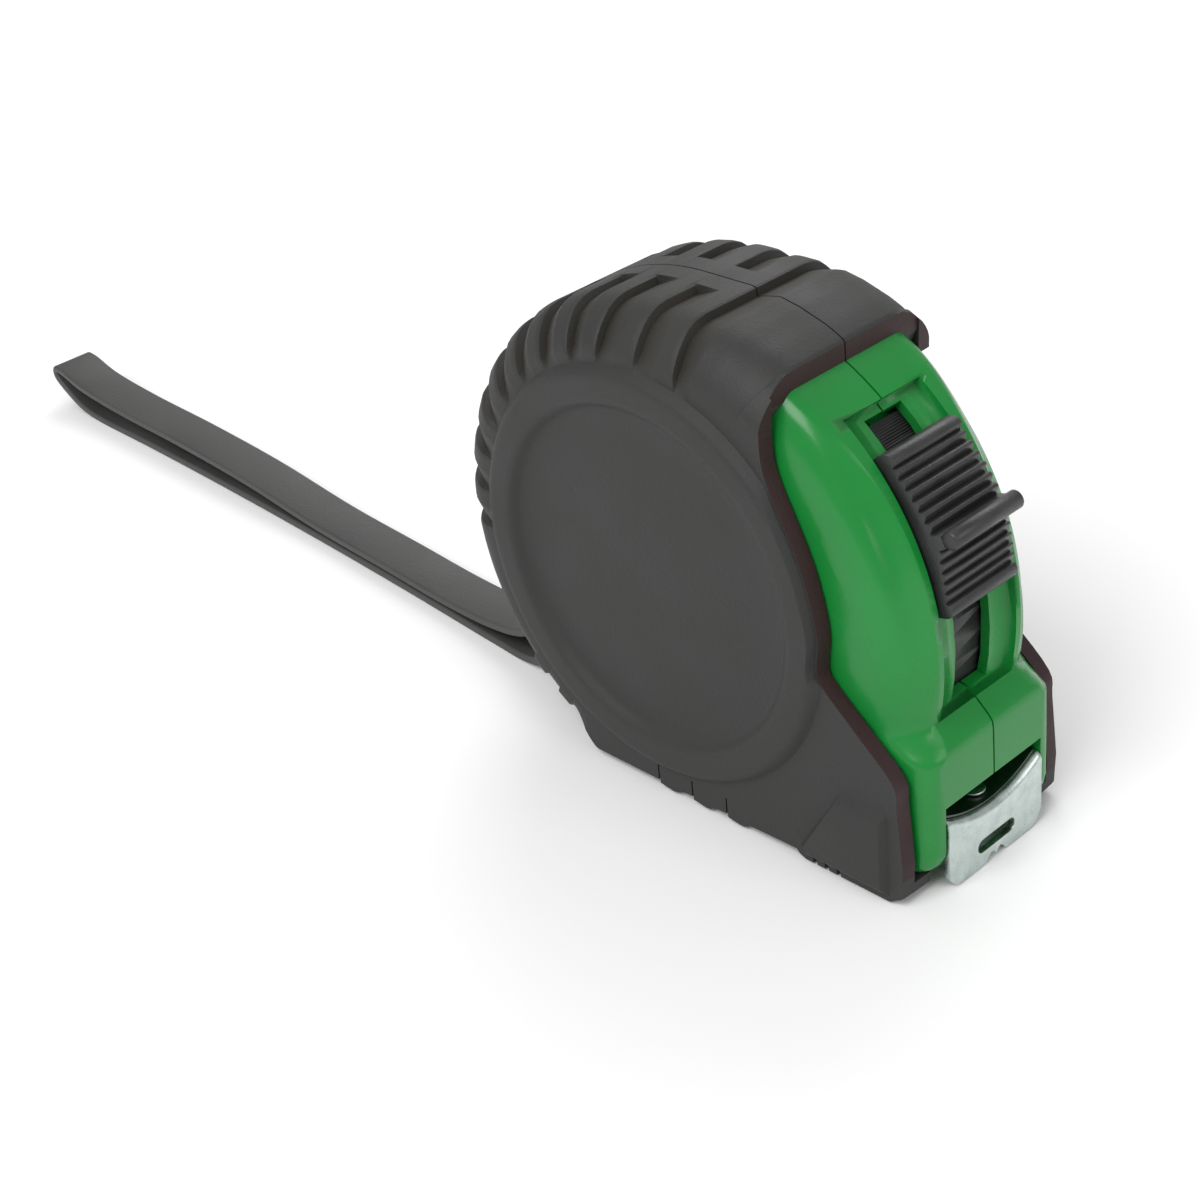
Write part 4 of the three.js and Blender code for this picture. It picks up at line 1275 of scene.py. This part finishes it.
@dataclass
class BladeAndHook:
    """The cupped blade with its printed scale, and the plated hook riveted to its end."""

    shop: Paintshop
    half: float = 9.5
    hook_half: float = 9.75
    hook_back: float = 43.5
    hook_thick: float = 0.9
    bend: float = 1.2

    def blade(self) -> bpy.types.Object:
        """The straight run of blade, flat at the coil and cupped at the mouth."""
        rings = []
        for x, cup in spline(((-9.5, 0), (1, 0), (5, .3), (9, .75), (13, 1), (20, 1), (43.3, 1)), 3):
            line = [self.half * (k / 12 - 1) for k in range(25)]
            low = [(x, y, BLADE_Z - 0.15 + cup * blade_rise(y)) for y in line]
            high = [(x, y, BLADE_Z + 0.15 + cup * blade_rise(y)) for y in reversed(line)]
            rings.append(low + high)
        return loft("printed_blade", rings)

    def plate_path(self, y: float) -> list[Pair]:
        """Outer face of the hook at y: up the plate, over the bend and back along the tongue.

        Args:
            y: Distance from the middle plane.

        Returns:
            The points of the path in XZ.
        """
        top = BLADE_Z - 0.27 + blade_rise(min(abs(y), self.half))
        face = self.hook_back + self.hook_thick
        path = [(face, blend(-34.25, top - self.bend, k / 10)) for k in range(11)]
        path += [polar(self.bend, 90 * k / 7, (face - self.bend, top - self.bend)) for k in range(1, 8)]
        path += [(face - self.bend - 0.7, top)]
        return path

    def hook(self) -> bpy.types.Object:
        """The hook: a bent plate with a nail slot and a claw notch, on its slotted tongue."""
        lines = [self.hook_half * (k / 20 - 1) for k in range(41)]
        rings = []
        for y in lines:
            outer = self.plate_path(y)
            inner = []
            for k, (x, z) in enumerate(outer):
                if k <= 10:
                    inner.append((x - self.hook_thick, z))
                elif k <= 17:
                    inner.append(polar(self.bend - self.hook_thick, 90 * (k - 10) / 7,
                                       (self.hook_back + self.hook_thick - self.bend, outer[10][1])))
                else:
                    inner.append((x, z - self.hook_thick))
            rings.append([(x, y, z) for x, z in outer + inner[::-1]])
        plate = loft("plated_hook", rings)
        corner = 2.6
        for side in (-1, 1):
            edge, low = side * (self.hook_half + 1), -34.25
            arc = [(side * (self.hook_half - corner + corner * math.sin(math.radians(a))),
                    low + corner - corner * math.cos(math.radians(a))) for a in range(0, 91, 10)]
            self.punch(plate, [*arc, (edge, low + corner), (edge, low - 1),
                               (side * (self.hook_half - corner), low - 1)])
        self.punch(plate, [(-2.3, -35), (-1.7, -33.7), (-1.0, -33.1), (-0.5, -33.25), (0.0, -33.9), (0.5, -33.25),
                           (1.0, -33.1), (1.7, -33.7), (2.3, -35)])
        slot = [polar(1.05, a, (2.85, -31.1)) for a in range(-90, 91, 15)]
        slot += [polar(1.05, a, (-2.85, -31.1)) for a in range(90, 271, 15)]
        self.punch(plate, slot)
        tongue = copy_of("end_hook", "tongue")
        carve(tongue, prism("trim", [(42.6, -60), (60, -60), (60, 0), (42.6, 0)], -20, 20))
        carve(plate, tongue, "UNION")
        round_edges(plate, 0.14, 2, 50.0)
        soften(plate, 35.0)
        return plate

    def punch(self, plate: bpy.types.Object, outline: Sequence[Pair]) -> None:
        """Cuts an outline in YZ through the hook's plate."""
        carve(plate, loft("punch", [[(x, y, z) for y, z in outline] for x in (41.0, 46.0)]))

    def build(self) -> None:
        """Builds the blade and the hook."""
        blade = self.blade()
        soften(blade, 30.0)
        self.shop.dress(blade, BLADE_COAT, Body.BLADE, "tape_blade")
        self.shop.dress(self.hook(), ZINC, Body.HOOK, "end_hook")
        for k in (1, 2):
            rivet = copy_of(f"hook_rivet_{k}", f"rivet_{k}")
            round_edges(rivet, 0.12, 2, 50.0)
            soften(rivet, 35.0)
            self.shop.dress(rivet, SCREW_STEEL, Body.BLADE, f"hook_rivet_{k}")


# ---------------------------------------------------------------- strap


@dataclass
class WristStrap:
    """The flat moulded strap, folded round its pin and back along the ground."""

    shop: Paintshop
    length: float = 163.0
    thick: float = 1.4
    half: float = 4.2

    def path(self) -> list[Pair]:
        """Points that the strap's middle line passes through."""
        px, pz = PIN
        ground = -AXIS_HEIGHT + self.thick / 2
        end = px - self.length
        hug = [polar(2.3, blend(108, -99, k / 7), PIN) for k in range(8)]
        return [
            *hug, (px - 5.6, pz - 5.0), (px - 11, pz - 9), (px - 17, ground + 0.35), (px - 25, ground),
            (px - 50, ground), (px - 90, ground), (px - 130, ground), (end + 14, ground), (end + 8.5, ground + 0.9),
            (end + 3.6, ground + 3.2), (end + 1, ground + 5.2), (end + 1.2, ground + 6.5), (end + 3.2, ground + 6.6),
            (end + 10, ground + 5), (end + 24, ground + 4), (end + 44, ground + 3.8), (end + 66, ground + 3.2),
            (end + 88, ground + 1.8), (px - 55, ground + 1.7), (px - 38, ground + 1.75), (px - 26, ground + 2.7),
            (px - 18, ground + 4.6), (px - 11, pz - 2.7), (px - 5.4, pz + 0.6)]

    def smooth_loop(self, samples: int) -> list[Pair]:
        """A smooth closed curve through the path, with stretches weighted by their length.

        Args:
            samples: Stretches made between two points.

        Returns:
            The points of the curve in XZ.
        """
        points, curve = self.path(), []
        count = len(points)
        for i in range(count):
            p = [points[(i + k - 1) % count] for k in range(4)]
            gaps = [max(1e-4, math.dist(p[k], p[k + 1])) ** 0.5 for k in range(3)]
            for step in range(samples):
                t = step / samples
                value = []
                for axis in (0, 1):
                    a, b, c, d = (q[axis] for q in p)
                    t1 = ((b - a) / gaps[0] - (c - a) / (gaps[0] + gaps[1]) + (c - b) / gaps[1]) * gaps[1]
                    t2 = ((c - b) / gaps[1] - (d - b) / (gaps[1] + gaps[2]) + (d - c) / gaps[2]) * gaps[1]
                    value.append(b + t1 * t + (-3 * b + 3 * c - 2 * t1 - t2) * t * t
                                 + (2 * b - 2 * c + t1 + t2) * t ** 3)
                curve.append((value[0], value[1]))
        return curve

    def drift(self, x: float) -> float:
        """How far the strap has wandered sideways at x."""
        t = (PIN[0] - x) / self.length
        return -3.8 + 17.9 * t - 7.1 * t * t

    def build(self) -> None:
        """Builds the strap and gives its pin its material."""
        curve = self.smooth_loop(6)
        corner, rings = 0.4, []
        section = []
        for sy, sn in ((1, 1), (-1, 1), (-1, -1), (1, -1)):
            turns = range(0, 91, 30) if sy * sn > 0 else range(90, -1, -30)
            for a in turns:
                section.append((sy * (self.half - corner + corner * math.cos(math.radians(a))),
                                sn * (self.thick / 2 - corner + corner * math.sin(math.radians(a)))))
        for k, (x, z) in enumerate(curve):
            ahead, behind = curve[(k + 1) % len(curve)], curve[k - 1]
            run = math.dist(ahead, behind)
            nx, nz = (ahead[1] - behind[1]) / run, -(ahead[0] - behind[0]) / run
            ring = []
            for y, n in section:
                px, pz = x + nx * n, max(z + nz * n, -AXIS_HEIGHT + 0.02)
                ring.append((px, y + self.drift(px), pz))
            rings.append(ring)
        strap = loft("moulded_strap", rings, closed=True)
        soften(strap, 50.0)
        self.shop.dress(strap, STRAP_RUBBER, Body.STRAP, "wrist_strap")
        self.shop.coat_node("strap_pin", SCREW_STEEL)


# ---------------------------------------------------------------- reel, clip and screws


@dataclass
class Workings:
    """What is inside the case, and the clip and screws on its right side."""

    shop: Paintshop
    screw_seat: float = 11.1
    clip_seat: float = 17.5

    def build(self) -> None:
        """Dresses the inner nodes and builds the clip and the screw heads."""
        for node, finish in (("spindle", SCREW_STEEL), ("power_spring", SPRING_STEEL), ("reel_drum", REEL_PLASTIC),
                             ("reel_cover", REEL_PLASTIC), ("tape_coil", BLADE_COAT)):
            self.shop.coat_node(node, finish)
        clip = copy_of("belt_clip", "spring_clip")
        round_edges(clip, 0.25, 3, 20.0)
        soften(clip, 35.0)
        self.shop.dress(clip, SPRING_STEEL, Body.CASE, "belt_clip")
        places = [(x, self.screw_seat, z) for x, z in screw_places()]
        screws = ScrewSet().build("case_screws", places, self.shop.of(SCREW_STEEL))
        self.shop.dress(screws, SCREW_STEEL, Body.CASE, *(f"case_screw_{k}" for k in range(1, 5)))
        clip_screw = ScrewSet(head_height=1.15, shank_length=3.3).build(
            "clip_screw_head", [(0.0, self.clip_seat, CLIP_Z)], self.shop.of(SCREW_STEEL))
        self.shop.dress(clip_screw, SCREW_STEEL, Body.CASE, "clip_screw")


# ---------------------------------------------------------------- studio


@dataclass
class Studio:
    """Camera, pale floor and soft light."""

    azimuth: float = 48.55
    elevation: float = 30.85
    roll: float = -6.15
    lens: float = 67.2

    def camera(self) -> None:
        """Makes the camera."""
        a, e, r = (math.radians(v) for v in (self.azimuth, self.elevation, self.roll))
        back = Vector((math.sin(a) * math.cos(e), -math.cos(a) * math.cos(e), math.sin(e)))
        right = Vector((math.cos(a), math.sin(a), 0.0))
        up = back.cross(right)
        across = right * math.cos(r) + up * math.sin(r)
        upward = up * math.cos(r) - right * math.sin(r)
        data = bpy.data.cameras.new("studio_camera")
        data.lens, data.sensor_width = self.lens, 36.0
        data.clip_start, data.clip_end = 0.01, 20.0
        camera = bpy.data.objects.new("studio_camera", data)
        bpy.context.scene.collection.objects.link(camera)
        turn = Matrix((across, upward, back)).transposed().to_4x4()
        camera.matrix_world = Matrix.Translation((0.18637, -0.18948, 0.18381)) @ turn
        bpy.context.scene.camera = camera

    def light(self, name: str, at: Point, size: float, power: float, aim: Point = (0.0, 0.0, 0.035)) -> None:
        """Makes one soft area light that points at the object.

        Args:
            name: Name of the light.
            at: Its place, in metres.
            size: Side of its square, in metres.
            power: Its power in watts.
            aim: What it points at, in metres.
        """
        data = bpy.data.lights.new(name, "AREA")
        data.shape, data.size, data.energy = "SQUARE", size, power
        lamp = bpy.data.objects.new(name, data)
        bpy.context.scene.collection.objects.link(lamp)
        lamp.location = at
        lamp.rotation_mode = "QUATERNION"
        lamp.rotation_quaternion = (Vector(at) - Vector(aim)).to_track_quat("Z", "Y")

    def build(self) -> None:
        """Makes the floor, the lights and the surroundings."""
        reach = 3000
        corners = [(x * reach, y * reach, SOLE_Z) for x, y in ((-1, -1), (1, -1), (1, 1), (-1, 1))]
        floor = new_object("studio_floor", corners, [(0, 1, 2, 3)])
        paper = bpy.data.materials.new("studio_paper")
        paper.use_nodes = True
        shader = paper.node_tree.nodes["Principled BSDF"]
        shader.inputs["Base Color"].default_value = (0.95, 0.95, 0.95, 1.0)
        shader.inputs["Roughness"].default_value = 0.9
        floor.data.materials.append(paper)
        world = bpy.data.worlds.new("studio_world")
        world.use_nodes = True
        world.node_tree.nodes["Background"].inputs["Color"].default_value = (1.0, 1.0, 1.0, 1.0)
        world.node_tree.nodes["Background"].inputs["Strength"].default_value = 0.5
        bpy.context.scene.world = world
        bpy.context.scene.view_settings.view_transform = "Standard"
        self.light("key_light", (0.05, -1.1, 1.3), 1.0, 18.0)
        self.light("front_light", (1.4, 0.1, 0.9), 0.9, 5.0)
        self.light("back_light", (-0.6, 1.0, 1.0), 1.0, 8.0)


def main() -> None:
    """Builds every piece around the frame, in order."""
    logging.basicConfig(level=logging.INFO, format="%(name)s: %(message)s")
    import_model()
    studio = Studio()
    studio.camera()
    shop = Paintshop()
    builders: list[Callable[[], None]] = [
        CaseShell(shop).build, Jacket(shop).build, ThumbLock(shop).build, BladeAndHook(shop).build,
        WristStrap(shop).build, Workings(shop).build, studio.build]
    for build in builders:
        build()


if __name__ == "__main__":
    main()
